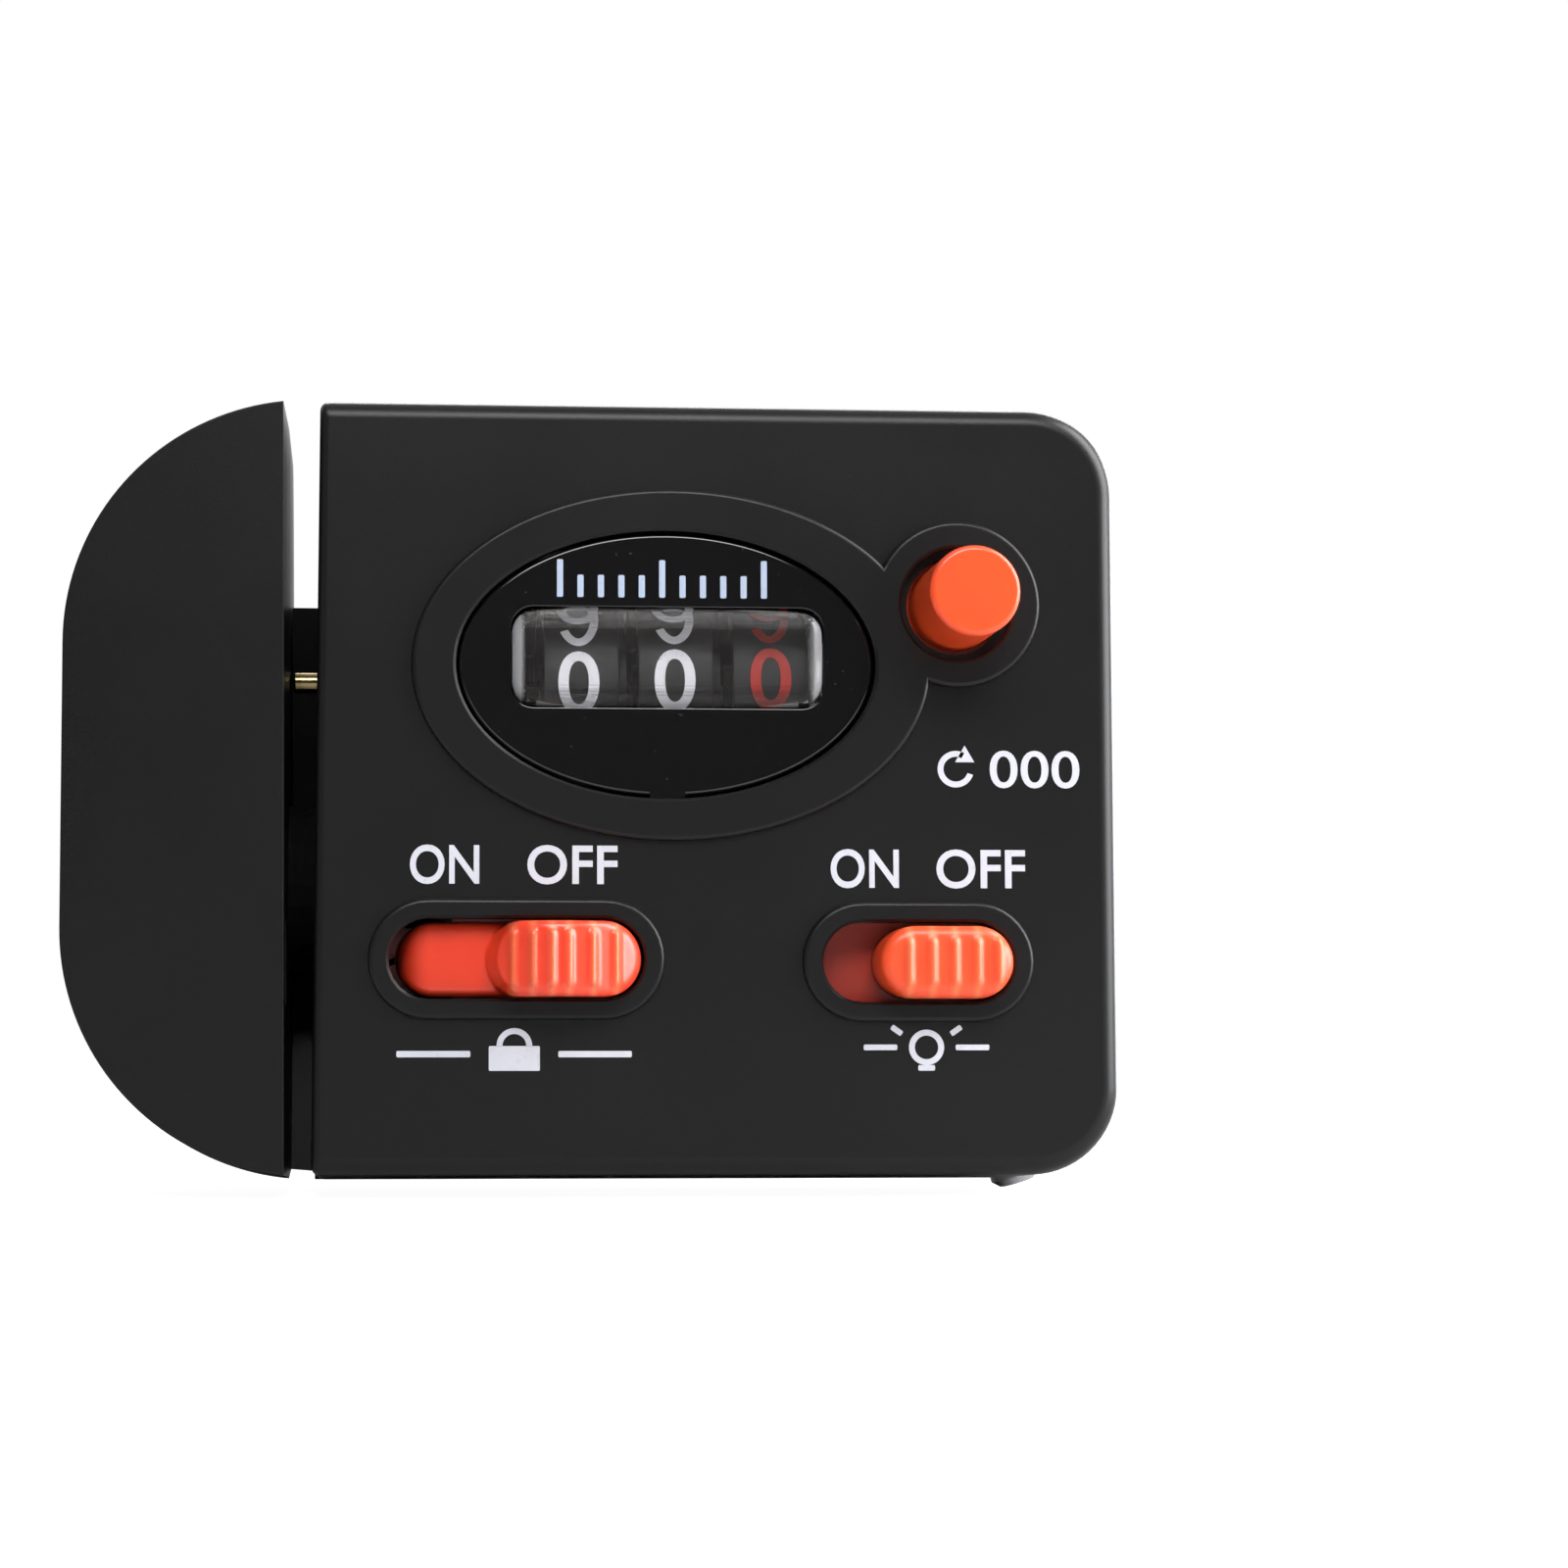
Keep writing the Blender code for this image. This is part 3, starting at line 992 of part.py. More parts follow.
def make_counter_frame():
    """The moulded frame round the drums: two cheeks on a rear web, two screw lugs and a spring seat."""
    web_low, web_high = TRANSFER_AXIS[1] - CHEEK_MARGIN, TRANSFER_AXIS[1] + CHEEK_MARGIN
    right = hull([WHEEL_AXIS, TRANSFER_AXIS, DRUM_AXIS], CHEEK_MARGIN)
    left = hull([TRANSFER_AXIS, DRUM_AXIS], CHEEK_MARGIN)
    frame = shape("counter_frame", prism(right, "x", RIGHT_CHEEK, RIGHT_CHEEK + CHEEK), CASE_PLASTIC)
    other = shape("left_cheek", prism(left, "x", LEFT_CHEEK, LEFT_CHEEK + CHEEK))
    web = shape("frame_web", box((LEFT_CHEEK + CHEEK / 2, WEB_DEPTH, web_low),
                                 (RIGHT_CHEEK + CHEEK / 2, WEB_DEPTH + CHEEK, web_high)))
    (left_x, left_z), (right_x, right_z) = FRAME_POSTS
    lug_half = POST_RADIUS + GAP
    lug_back = FRAME_LUG_DEPTH + LUG_THICKNESS
    left_lug = shape("left_lug", box((left_x - lug_half, FRAME_LUG_DEPTH, TRANSFER_AXIS[1] - lug_half),
                                     (LEFT_CHEEK + CHEEK / 2, lug_back, left_z + lug_half)))
    right_lug = shape("right_lug", box((RIGHT_CHEEK + CHEEK / 2, FRAME_LUG_DEPTH, right_z - lug_half),
                                       (right_x + lug_half, lug_back, right_z + lug_half)))
    seat_half = SPRING_RADIUS + SPRING_WIRE + CHEEK
    seat = shape("spring_seat", box((RIGHT_CHEEK + CHEEK / 2, SPRING_SEAT, BUTTON_HEIGHT - seat_half),
                                    (BUTTON_X + seat_half, SPRING_SEAT + LUG_THICKNESS,
                                     BUTTON_HEIGHT + seat_half)))
    stays = [
        frame_stay("left_arm", LEFT_CHEEK, TRANSFER_AXIS[0], WEB_DEPTH + CHEEK / 2, web_low + FIT,
                   web_high - FIT),
        frame_stay("right_arm", RIGHT_CHEEK, TRANSFER_AXIS[0], WEB_DEPTH + CHEEK / 2, web_low + FIT,
                   web_high - FIT),
        frame_stay("left_stay", LEFT_CHEEK, FRAME_LUG_DEPTH + FIT, TRANSFER_AXIS[0] - FIT,
                   TRANSFER_AXIS[1] - lug_half + FIT, TRANSFER_AXIS[1]),
        frame_stay("right_stay", RIGHT_CHEEK, FRAME_LUG_DEPTH + FIT, IDLER_AXIS[0] - FIT,
                   right_z - lug_half + FIT,
                   right_z + lug_half - FIT),
        frame_stay("seat_stay", RIGHT_CHEEK, SPRING_SEAT + FIT, TRANSFER_AXIS[0] - FIT * 2, DRUM_HEIGHT - FIT,
                   BUTTON_HEIGHT + seat_half - FIT),
    ]
    add(frame, web, other, *stays, left_lug, right_lug, seat)
    cut(frame, bore("drum_shaft_hole", DRUM_AXIS, LEFT_CHEEK, SHAFT_END, DRUM_SHAFT_RADIUS + FIT))
    cut(frame, bore("pinion_shaft_hole", TRANSFER_AXIS, LEFT_CHEEK, SHAFT_END, PINION_SHAFT_RADIUS + FIT))
    cut(frame, bore("idler_shaft_hole", IDLER_AXIS, RIGHT_CHEEK, SHAFT_END, IDLER_SHAFT_RADIUS + FIT))
    cut(frame, bore("axle_hole", WHEEL_AXIS, RIGHT_CHEEK, SHAFT_END, AXLE_RADIUS + FIT))
    for index, (x, z) in enumerate(FRAME_POSTS, 1):
        cut(frame, shape(f"lug_hole_{index}", rod(
            (x, FRAME_LUG_DEPTH - OVERRUN, z), (x, lug_back + OVERRUN, z), SCREW_RADIUS + GAP)))
    cut(frame, shape("stem_hole", rod(
        (BUTTON_X, SPRING_SEAT - OVERRUN, BUTTON_HEIGHT),
        (BUTTON_X, SPRING_SEAT + LUG_THICKNESS + OVERRUN, BUTTON_HEIGHT), BUTTON_STEM_RADIUS + GAP)))
    return frame


SPRING_RADIUS = 2.4 * MM
SPRING_WIRE = 0.22 * MM
SPRING_TURNS = 6
SPRING_SHUT = 3.2 * MM


# Line wheel

def make_line_wheel():
    half = WHEEL_WIDTH / 2
    seat = WHEEL_RADIUS - TYRE_THICKNESS
    groove = TYRE_THICKNESS * 0.3
    turned("line_wheel_tyre", [
        (seat + FIT / 2, -half), (WHEEL_RADIUS, -half), (WHEEL_RADIUS - groove, 0.0), (WHEEL_RADIUS, half),
        (seat + FIT / 2, half)], RUBBER, origin=(0.0, *WHEEL_AXIS), axis="x", steps=24)
    hole = AXLE_RADIUS + FIT
    web = half * 0.4
    rim = seat - TYRE_THICKNESS * 0.6
    hub = AXLE_RADIUS * 3
    turned("line_wheel_hub", [
        (hole, -half), (hub, -half), (hub, -web), (rim, -web), (rim, -half), (seat - FIT / 2, -half),
        (seat - FIT / 2, half), (rim, half), (rim, web), (hub, web), (hub, half), (hole, half)],
        GEAR_PLASTIC, origin=(0.0, *WHEEL_AXIS), axis="x", steps=16)
    axle_left = -(WHEEL_WIDTH / 2 + WALL + BUSH_FLANGE)
    shape("wheel_axle", rod((axle_left, *WHEEL_AXIS), (SHAFT_END, *WHEEL_AXIS), AXLE_RADIUS), STEEL,
          origin=(0.0, *WHEEL_AXIS))
    start = IDLER_GEAR_START - FIT
    end = start + PINION_WIDTH
    pinion = gear("wheel_pinion", PINION_TEETH, GEAR_MODULE, direction(WHEEL_AXIS, IDLER_AXIS), WHEEL_AXIS,
                  start,
                  end, GEAR_PLASTIC)
    cut(pinion, bore("wheel_pinion_bore", WHEEL_AXIS, start, end, AXLE_RADIUS + FIT / 2))
    for name, side in (("axle_bush_left", -1.0), ("axle_bush_right", 1.0)):
        near = WHEEL_WIDTH / 2 + GAP + FIT
        wall_back = slot_half(WHEEL_HEIGHT) + WALL
        inner, outer = AXLE_RADIUS + FIT, BUSH_RADIUS
        profile = [(inner, side * near), (outer, side * near), (outer, side * (wall_back + FIT)),
                   (outer + BUSH_FLANGE, side * (wall_back + FIT)),
                   (outer + BUSH_FLANGE, side * (wall_back + FIT + BUSH_FLANGE)),
                   (inner, side * (wall_back + FIT + BUSH_FLANGE))]
        turned(name, profile, BRASS, origin=(0.0, *WHEEL_AXIS), axis="x", steps=FINE_STEPS)
    pin_left = FIT - slot_half(KEEPER_HEIGHT)
    pin_right = slot_half(KEEPER_HEIGHT) + WALL + OVERRUN
    shape("keeper_pin", rod((pin_left, KEEPER_DEPTH, KEEPER_HEIGHT), (pin_right, KEEPER_DEPTH, KEEPER_HEIGHT),
                            KEEPER_RADIUS), BRASS)


# Reset button

FLANGE_FRONT = FACE_WALL + GAP
FLANGE_THICKNESS = 1.4 * MM
FLANGE_BACK = FLANGE_FRONT + FLANGE_THICKNESS
COMB_FRONT = FLANGE_BACK + FIT
COMB_THICKNESS = 1.0 * MM
SPRING_FRONT = COMB_FRONT + COMB_THICKNESS
SPRING_LENGTH = BUTTON_TRAVEL + SPRING_SHUT
SPRING_SEAT = SPRING_FRONT + SPRING_LENGTH
COMB_HALF_HEIGHT = 0.9 * MM
COMB_HEIGHT = DRUM_HEIGHT + DRUM_RADIUS + COMB_HALF_HEIGHT + GAP * 2


def make_reset():
    origin = (BUTTON_X, 0.0, BUTTON_HEIGHT)
    soft = BUTTON_RADIUS * 0.12
    flange = BUTTON_HOLE_RADIUS + BUTTON_FLANGE
    turned("reset_button", [
        (0.0, -BUTTON_SHOWN), (BUTTON_RADIUS - soft, -BUTTON_SHOWN),
        (BUTTON_RADIUS - soft * 0.3, -BUTTON_SHOWN + soft * 0.3), (BUTTON_RADIUS, -BUTTON_SHOWN + soft),
        (BUTTON_RADIUS, FLANGE_FRONT), (flange, FLANGE_FRONT), (flange, FLANGE_BACK),
        (BUTTON_STEM_RADIUS, FLANGE_BACK), (BUTTON_STEM_RADIUS, SPRING_SEAT + LUG_THICKNESS / 2),
        (0.0, SPRING_SEAT + LUG_THICKNESS / 2)], ORANGE_PLASTIC, origin=origin, axis="y")
    ring = SPRING_RADIUS + SPRING_WIRE + FIT
    comb = shape("reset_comb", rod((BUTTON_X, COMB_FRONT, BUTTON_HEIGHT),
                                   (BUTTON_X, SPRING_FRONT, BUTTON_HEIGHT),
                                   ring, ROUND_STEPS), CASE_PLASTIC)
    arm_left = DRUM_X - DRUM_PITCH - COMB_HALF_HEIGHT
    low, high = COMB_HEIGHT - COMB_HALF_HEIGHT, COMB_HEIGHT + COMB_HALF_HEIGHT
    arm = shape("comb_arm", box((arm_left, COMB_FRONT, low), (BUTTON_X, SPRING_FRONT, high)))
    riser = shape("comb_riser", box((BUTTON_X - COMB_HALF_HEIGHT * 2, COMB_FRONT, BUTTON_HEIGHT), (
        BUTTON_X, SPRING_FRONT, high)))
    fingers = []
    for index in range(3):
        x = DRUM_X + DRUM_PITCH * (index - 1)
        fingers.append(shape(f"comb_finger_{index + 1}", box(
            (x - COMB_HALF_HEIGHT, COMB_FRONT + COMB_THICKNESS / 2, low),
            (x + COMB_HALF_HEIGHT, SPRING_FRONT + COMB_THICKNESS * 2, low + COMB_HALF_HEIGHT))))
    add(comb, riser, arm, *fingers)
    cut(comb, shape("comb_hole", rod((BUTTON_X, COMB_FRONT - OVERRUN, BUTTON_HEIGHT),
                                     (BUTTON_X, SPRING_FRONT + OVERRUN, BUTTON_HEIGHT),
                                     BUTTON_STEM_RADIUS + FIT)))


def make_reset_spring():
    start, end = SPRING_FRONT + SPRING_WIRE + FIT, SPRING_SEAT - SPRING_WIRE - FIT
    steps = 10
    count = SPRING_TURNS * steps
    path = bpy.data.curves.new("reset_spring", "CURVE")
    path.dimensions = "3D"
    path.bevel_depth = SPRING_WIRE
    path.bevel_resolution = 1
    path.use_fill_caps = True
    spline = path.splines.new("POLY")
    spline.points.add(count)
    for index in range(count + 1):
        turn = math.tau * index / steps
        along = start + (end - start) * index / count
        spline.points[index].co = (SPRING_RADIUS * math.cos(turn), along, SPRING_RADIUS * math.sin(turn), 1.0)
    spring = bpy.data.objects.new("reset_spring", path)
    spring.parent = CASE
    spring.location = (BUTTON_X, 0.0, BUTTON_HEIGHT)
    path.materials.append(STEEL)
    PARTS.objects.link(spring)
    spare = (end - start) / SPRING_TURNS - 2 * SPRING_WIRE
    print(f"reset_spring: {spare / MM:.2f} mm between turns")


# Slide controls

def ribbed_top(left, right, ends, rise, crest_share, rib_count):
    """Top of a ribbed thumb grip as (x, depth) points from right to left: an arch with rounded ribs."""
    def arch(x):
        share = (x - left) / (right - left)
        lean = share / crest_share if share < crest_share else (1.0 - share) / (1.0 - crest_share)
        return -(ends + (rise - ends) * math.sin(math.pi / 2 * min(max(lean, 0.0), 1.0)))

    points = [(right, arch(right))]
    margin = (right - left - RIB_PITCH * (rib_count - 1)) / 2
    for index in range(rib_count - 1):
        groove = right - margin - RIB_PITCH * (index + 0.5)
        for offset, sink in ((0.30, 0.0), (0.16, 1.0), (-0.16, 1.0), (-0.30, 0.0)):
            x = groove + RIB_PITCH * offset
            points.append((x, arch(x) + RIB_DEPTH * sink))
    points.append((left, arch(left)))
    return points


PLATE_FRONT = FACE_WALL + GAP
PLATE_BACK = PLATE_FRONT + SLIDE_PLATE
TONGUE_TIP = 1.7 * MM
LOCK_HUMP_LEFT = LOCK_LEFT + LOCK_TRAVEL + SLIDE_END_GAP
LOCK_TAIL_LEFT_SHARE = 0.13014
LOCK_TAIL_LEFT = CASE_RIGHT * LOCK_TAIL_LEFT_SHARE


def grip(name, left, right, ends, rise, crest_share):
    """A ribbed thumb grip with round ends, as far back as the back of its slide plate."""
    half = OPENING_HALF_HEIGHT - GAP
    side = [(right, PLATE_BACK - FIT), *ribbed_top(left, right, ends, rise, crest_share, 6),
            (left, PLATE_BACK - FIT)]
    thumb = shape(f"{name}_slider", prism(side, "z", SLIDE_HEIGHT - half * 2, SLIDE_HEIGHT + half * 2),
                  ORANGE_PLASTIC)
    keep(thumb, shape(f"{name}_grip_outline", prism(stadium(left, right, SLIDE_HEIGHT, half), "y", -rise * 2,
                                                    WALL * 3)))
    return thumb


def make_lock_slider():
    """The line lock: a ribbed hump, a tail that dips under the face, and the tongue that closes the slot."""
    right = LOCK_RIGHT - GAP
    half = OPENING_HALF_HEIGHT - GAP
    slider = grip("lock", LOCK_HUMP_LEFT, right, LOCK_RISE * 0.35, LOCK_RISE, 0.45)
    plate = shape("lock_plate", box(
        (LOCK_HUMP_LEFT - SLIDE_PLATE * 2, PLATE_FRONT, SLIDE_HEIGHT - half - SLIDE_LAP),
        (LOCK_RIGHT + SLIDE_LAP, PLATE_BACK, SLIDE_HEIGHT + half + SLIDE_LAP)))
    tongue_front = PLATE_BACK + FIT
    tongue_back = tongue_front + TONGUE_THICKNESS
    tail = [(LOCK_HUMP_LEFT, PLATE_FRONT + FIT), (LOCK_HUMP_LEFT - SLIDE_PLATE * 2, PLATE_FRONT + FIT),
            (LOCK_TAIL_LEFT, PLATE_BACK - FIT), (LOCK_TAIL_LEFT - SLIDE_PLATE, tongue_front),
            (TONGUE_TIP, tongue_front), (TONGUE_TIP, tongue_back), (LOCK_HUMP_LEFT, tongue_back)]
    tongue = shape("lock_tongue", prism(tail, "z", SLIDE_HEIGHT - half + FIT, SLIDE_HEIGHT + half - FIT))
    add(slider, plate, tongue)
    bend = LEAF_DEPTH - GAP - LEAF_BUMP
    leaf_right = LEAF_POST_X + POST_RADIUS
    leaf_left = LOCK_HUMP_LEFT + RIB_PITCH
    middle = (leaf_left + LOCK_RIGHT) / 2
    strip = [(leaf_left, LEAF_DEPTH), (middle - RIB_PITCH, LEAF_DEPTH), (middle, bend + LEAF_BUMP),
             (middle + RIB_PITCH, LEAF_DEPTH), (leaf_right, LEAF_DEPTH)]
    back = [(x, y + LEAF_THICKNESS) for x, y in reversed(strip)]
    leaf = shape("lock_spring", prism(strip + back, "z", SLIDE_HEIGHT - RIB_PITCH, SLIDE_HEIGHT + RIB_PITCH),
                 STEEL)
    cut(leaf, shape("leaf_hole", rod((LEAF_POST_X, LEAF_DEPTH - OVERRUN, SLIDE_HEIGHT),
                                     (LEAF_POST_X, LEAF_DEPTH + OVERRUN, SLIDE_HEIGHT),
                                     LEAF_PEG_RADIUS + FIT)))


LEAF_BUMP = 0.1 * MM
LIGHT_THUMB_LEFT = LIGHT_LEFT + LIGHT_TRAVEL + FIT
LEVER_HALF = 1.0 * MM
SWITCH_HALF_WIDTH_SHARE = 0.0719
SWITCH_HALF_WIDTH = CASE_RIGHT * SWITCH_HALF_WIDTH_SHARE
SWITCH_HALF_HEIGHT = 1.8 * MM
SWITCH_DEPTH = 3.3 * MM


def make_light_slider():
    right = LIGHT_RIGHT - GAP
    half = OPENING_HALF_HEIGHT - GAP
    slider = grip("light", LIGHT_THUMB_LEFT, right, LIGHT_RISE * 0.7, LIGHT_RISE, 0.5)
    plate = shape("light_plate", box(
        (LIGHT_LEFT - SLIDE_LAP, PLATE_FRONT, SLIDE_HEIGHT - half - SLIDE_LAP),
        (LIGHT_RIGHT + LIGHT_TRAVEL + GAP, PLATE_BACK, SLIDE_HEIGHT + half + SLIDE_LAP)))
    add(slider, plate)
    lever_x = (LIGHT_THUMB_LEFT + right) / 2
    switch_front = BOARD_DEPTH - FIT - SWITCH_DEPTH
    prongs = []
    for name, side_sign in (("left_prong", -1.0), ("right_prong", 1.0)):
        near = lever_x + side_sign * (LEVER_HALF + FIT)
        far = near + side_sign * LEVER_HALF
        prongs.append(shape(name, box((min(near, far), PLATE_BACK - FIT * 2, SLIDE_HEIGHT - LEVER_HALF),
                                      (max(near, far), switch_front - FIT, SLIDE_HEIGHT + LEVER_HALF))))
    add(slider, *prongs)
    shape("switch_lever", box(
        (lever_x - LEVER_HALF, PLATE_BACK + FIT, SLIDE_HEIGHT - LEVER_HALF),
        (lever_x + LEVER_HALF, switch_front + LEVER_HALF, SLIDE_HEIGHT + LEVER_HALF)), CASE_PLASTIC)
    centre = lever_x - LIGHT_TRAVEL / 2
    switch = shape("slide_switch", box(
        (centre - SWITCH_HALF_WIDTH, switch_front, SLIDE_HEIGHT - SWITCH_HALF_HEIGHT),
        (centre + SWITCH_HALF_WIDTH, BOARD_DEPTH - FIT, SLIDE_HEIGHT + SWITCH_HALF_HEIGHT)), STEEL)
    cut(switch, shape("lever_slot", box(
        (lever_x - LIGHT_TRAVEL - LEVER_HALF - FIT, switch_front - OVERRUN, SLIDE_HEIGHT - LEVER_HALF - FIT),
        (lever_x + LEVER_HALF + FIT, switch_front + LEVER_HALF + FIT, SLIDE_HEIGHT + LEVER_HALF + FIT))))


# Board, lamp and cells

def make_electrics():
    back = BOARD_DEPTH + BOARD_THICKNESS
    notch_z = SLIDE_HEIGHT + OPENING_HALF_HEIGHT + SLIDE_LAP
    lamp_z = DRUM_HEIGHT - LAMP_DROP
    tab_left = DRUM_X - LAMP_RADIUS * 2
    outline = [(BOARD_LEFT, BOARD_BOTTOM), (BOARD_RIGHT, BOARD_BOTTOM), (BOARD_RIGHT, BOARD_TOP),
               (tab_left, BOARD_TOP), (tab_left, notch_z), (BOARD_LEFT, notch_z)]
    board = shape("circuit_board", prism(outline, "y", BOARD_DEPTH, back), BOARD_GREEN)
    for index, (x, z) in enumerate(BOARD_POSTS, 1):
        cut(board, shape(f"board_hole_{index}", rod((x, BOARD_DEPTH - OVERRUN, z), (x, back + OVERRUN, z),
                                                    SCREW_RADIUS + GAP)))
    guide_back = LENS_FRONT + LENS_THICKNESS + GAP + GUIDE_THICKNESS * 1.4
    tip = guide_back + FIT
    dome = LAMP_RADIUS * 0.8
    turned("lamp", [
        (0.0, tip), (LAMP_RADIUS * 0.6, tip + dome * 0.2), (LAMP_RADIUS, tip + dome),
        (LAMP_RADIUS, BOARD_DEPTH - FIT),
        (0.0, BOARD_DEPTH - FIT)], LAMP_RED, origin=(DRUM_X, 0.0, lamp_z), axis="y", steps=FINE_STEPS)
    floor = CELL_FLOOR
    for index in range(2):
        x = CELL_X + index * (CELL_RADIUS * 2 + FIT)
        low, high = floor, floor + CELL_HEIGHT
        soft = CELL_HEIGHT * 0.1
        turned(f"coin_cell_{index + 1}", [
            (0.0, low), (CELL_RADIUS * 0.85, low), (CELL_RADIUS * 0.85, low + soft),
            (CELL_RADIUS, low + soft),
            (CELL_RADIUS, high - soft), (CELL_RADIUS - soft, high), (0.0, high)], STEEL,
            origin=(x, CELL_DEPTH, 0.0), axis="z")
        strip_low = high + GAP
        strip_half = CELL_RADIUS * 0.3
        leg_front = BOARD_DEPTH + BOARD_THICKNESS + GAP
        side = [(leg_front, SHELF_BOTTOM - GAP), (CELL_DEPTH + strip_half, SHELF_BOTTOM - GAP),
                (CELL_DEPTH + strip_half, SHELF_BOTTOM - GAP - CONTACT_THICKNESS),
                (CELL_DEPTH, strip_low), (leg_front, SHELF_BOTTOM - GAP - CONTACT_THICKNESS)]
        shape(f"cell_contact_{index + 1}", prism(side, "x", x - strip_half, x + strip_half), STEEL)
    bridge_half = CELL_RADIUS * 0.4
    shape("cell_bridge", box(
        (CELL_X - bridge_half, CELL_DEPTH - bridge_half, floor - GAP - CONTACT_THICKNESS),
        (CELL_X + CELL_RADIUS * 2 + bridge_half, CELL_DEPTH + bridge_half, floor - GAP)), STEEL)



def make_battery_door():
    """The door: a piece of the case's own skin, with the bottom curve and the corner, held by one screw."""
    door = shape("battery_door", box(
        (DOOR_LEFT + GAP, DOOR_FRONT + GAP, -OVERRUN * 3),
        (DOOR_RIGHT - GAP, DOOR_BACK - GAP, DOOR_TOP - GAP)),
        CASE_PLASTIC)
    rim = PARTING_DEPTH
    envelope = shape("door_envelope", loft([
        at_depth(case_outline(front_inset(FACE_ROUND)), FACE_ROUND),
        at_depth(case_outline(front_inset(rim)), rim),
        at_depth(case_outline(rear_inset(REAR_END)), REAR_END)]))
    keep(door, envelope)
    inner = shape("door_inner", loft([
        at_depth(body_outline(front_inset(FACE_ROUND) + WALL, WALL), FACE_ROUND),
        at_depth(body_outline(front_inset(rim) + WALL, WALL), rim),
        at_depth(body_outline(rear_inset(REAR_END) + WALL, WALL), REAR_END)]))
    cut(door, inner)
    seat = DOOR_SURFACE - SCREW_HEAD_HEIGHT * 0.45
    wide = SCREW_HEAD_RADIUS + GAP
    cut(door, shape("door_hole", rod(DOOR_SCREW_CENTRE + DOOR_SCREW_OUTWARD * (seat - WALL * 2),
                                     DOOR_SCREW_CENTRE + DOOR_SCREW_OUTWARD * (seat + OVERRUN),
                                     DOOR_SCREW_RADIUS + FIT)))
    cut(door, shape("door_counterbore", rod(DOOR_SCREW_CENTRE + DOOR_SCREW_OUTWARD * seat,
                                            DOOR_SCREW_CENTRE + DOOR_SCREW_OUTWARD * (seat + OVERRUN * 3),
                                            wide)))
    head = seat + GAP
    screw = turned("door_screw", [
        (0.0, GAP * 3), (DOOR_SCREW_RADIUS, GAP * 3), (DOOR_SCREW_RADIUS, head), (SCREW_HEAD_RADIUS, head),
        (SCREW_HEAD_RADIUS, head + SCREW_HEAD_HEIGHT * 0.6),
        (SCREW_HEAD_RADIUS * 0.7, head + SCREW_HEAD_HEIGHT),
        (0.0, head + SCREW_HEAD_HEIGHT)], STEEL, origin=DOOR_SCREW_CENTRE, steps=FINE_STEPS)
    screw.rotation_euler = (0.0, math.pi - DOOR_SCREW_ANGLE, 0.0)


def screw_profile(length):
    """A pan-head screw along its axis, with the underside of its head at zero."""
    return [(0.0, -length), (SCREW_RADIUS, -length), (SCREW_RADIUS, 0.0), (SCREW_HEAD_RADIUS, 0.0),
            (SCREW_HEAD_RADIUS, SCREW_HEAD_HEIGHT * 0.6), (SCREW_HEAD_RADIUS * 0.7, SCREW_HEAD_HEIGHT),
            (0.0, SCREW_HEAD_HEIGHT)]


def make_screws():
    seat = SCREW_SEAT_DEPTH + GAP
    for index, (x, z) in enumerate(CASE_SCREWS, 1):
        turned(f"case_screw_{index}", screw_profile(seat - SCREW_TIP_DEPTH), STEEL, origin=(x, seat, z),
               axis="y",
               steps=10)
    small = [("frame_screw", FRAME_POSTS, FRAME_LUG_DEPTH + LUG_THICKNESS + FIT),
             ("board_screw", BOARD_POSTS, BOARD_DEPTH + BOARD_THICKNESS + FIT)]
    for name, spots, head in small:
        for index, (x, z) in enumerate(spots, 1):
            turned(f"{name}_{index}", screw_profile(head - FACE_WALL * 2 - GAP), STEEL, origin=(x, head, z),
                   axis="y", steps=8)


# Rod clamp, in the clamp frame

PAD_ANGLE = math.radians(50.0)


def pad(name, side):
    """A rubber lining of the rod groove."""
    inner = ROD_RADIUS + GAP / 3
    outer = inner + PAD_THICKNESS
    steps = 10
    turns = [PAD_ANGLE * (2.0 * step / steps - 1.0) for step in range(steps + 1)]
    points = [(outer * math.sin(turn), side * outer * math.cos(turn)) for turn in turns]
    points += [(inner * math.sin(turn), side * inner * math.cos(turn)) for turn in reversed(turns)]
    half = CLAMP_HALF_LENGTH - GAP * 2
    shape(name, prism(points, "z", -half, half), RUBBER, CLAMP)


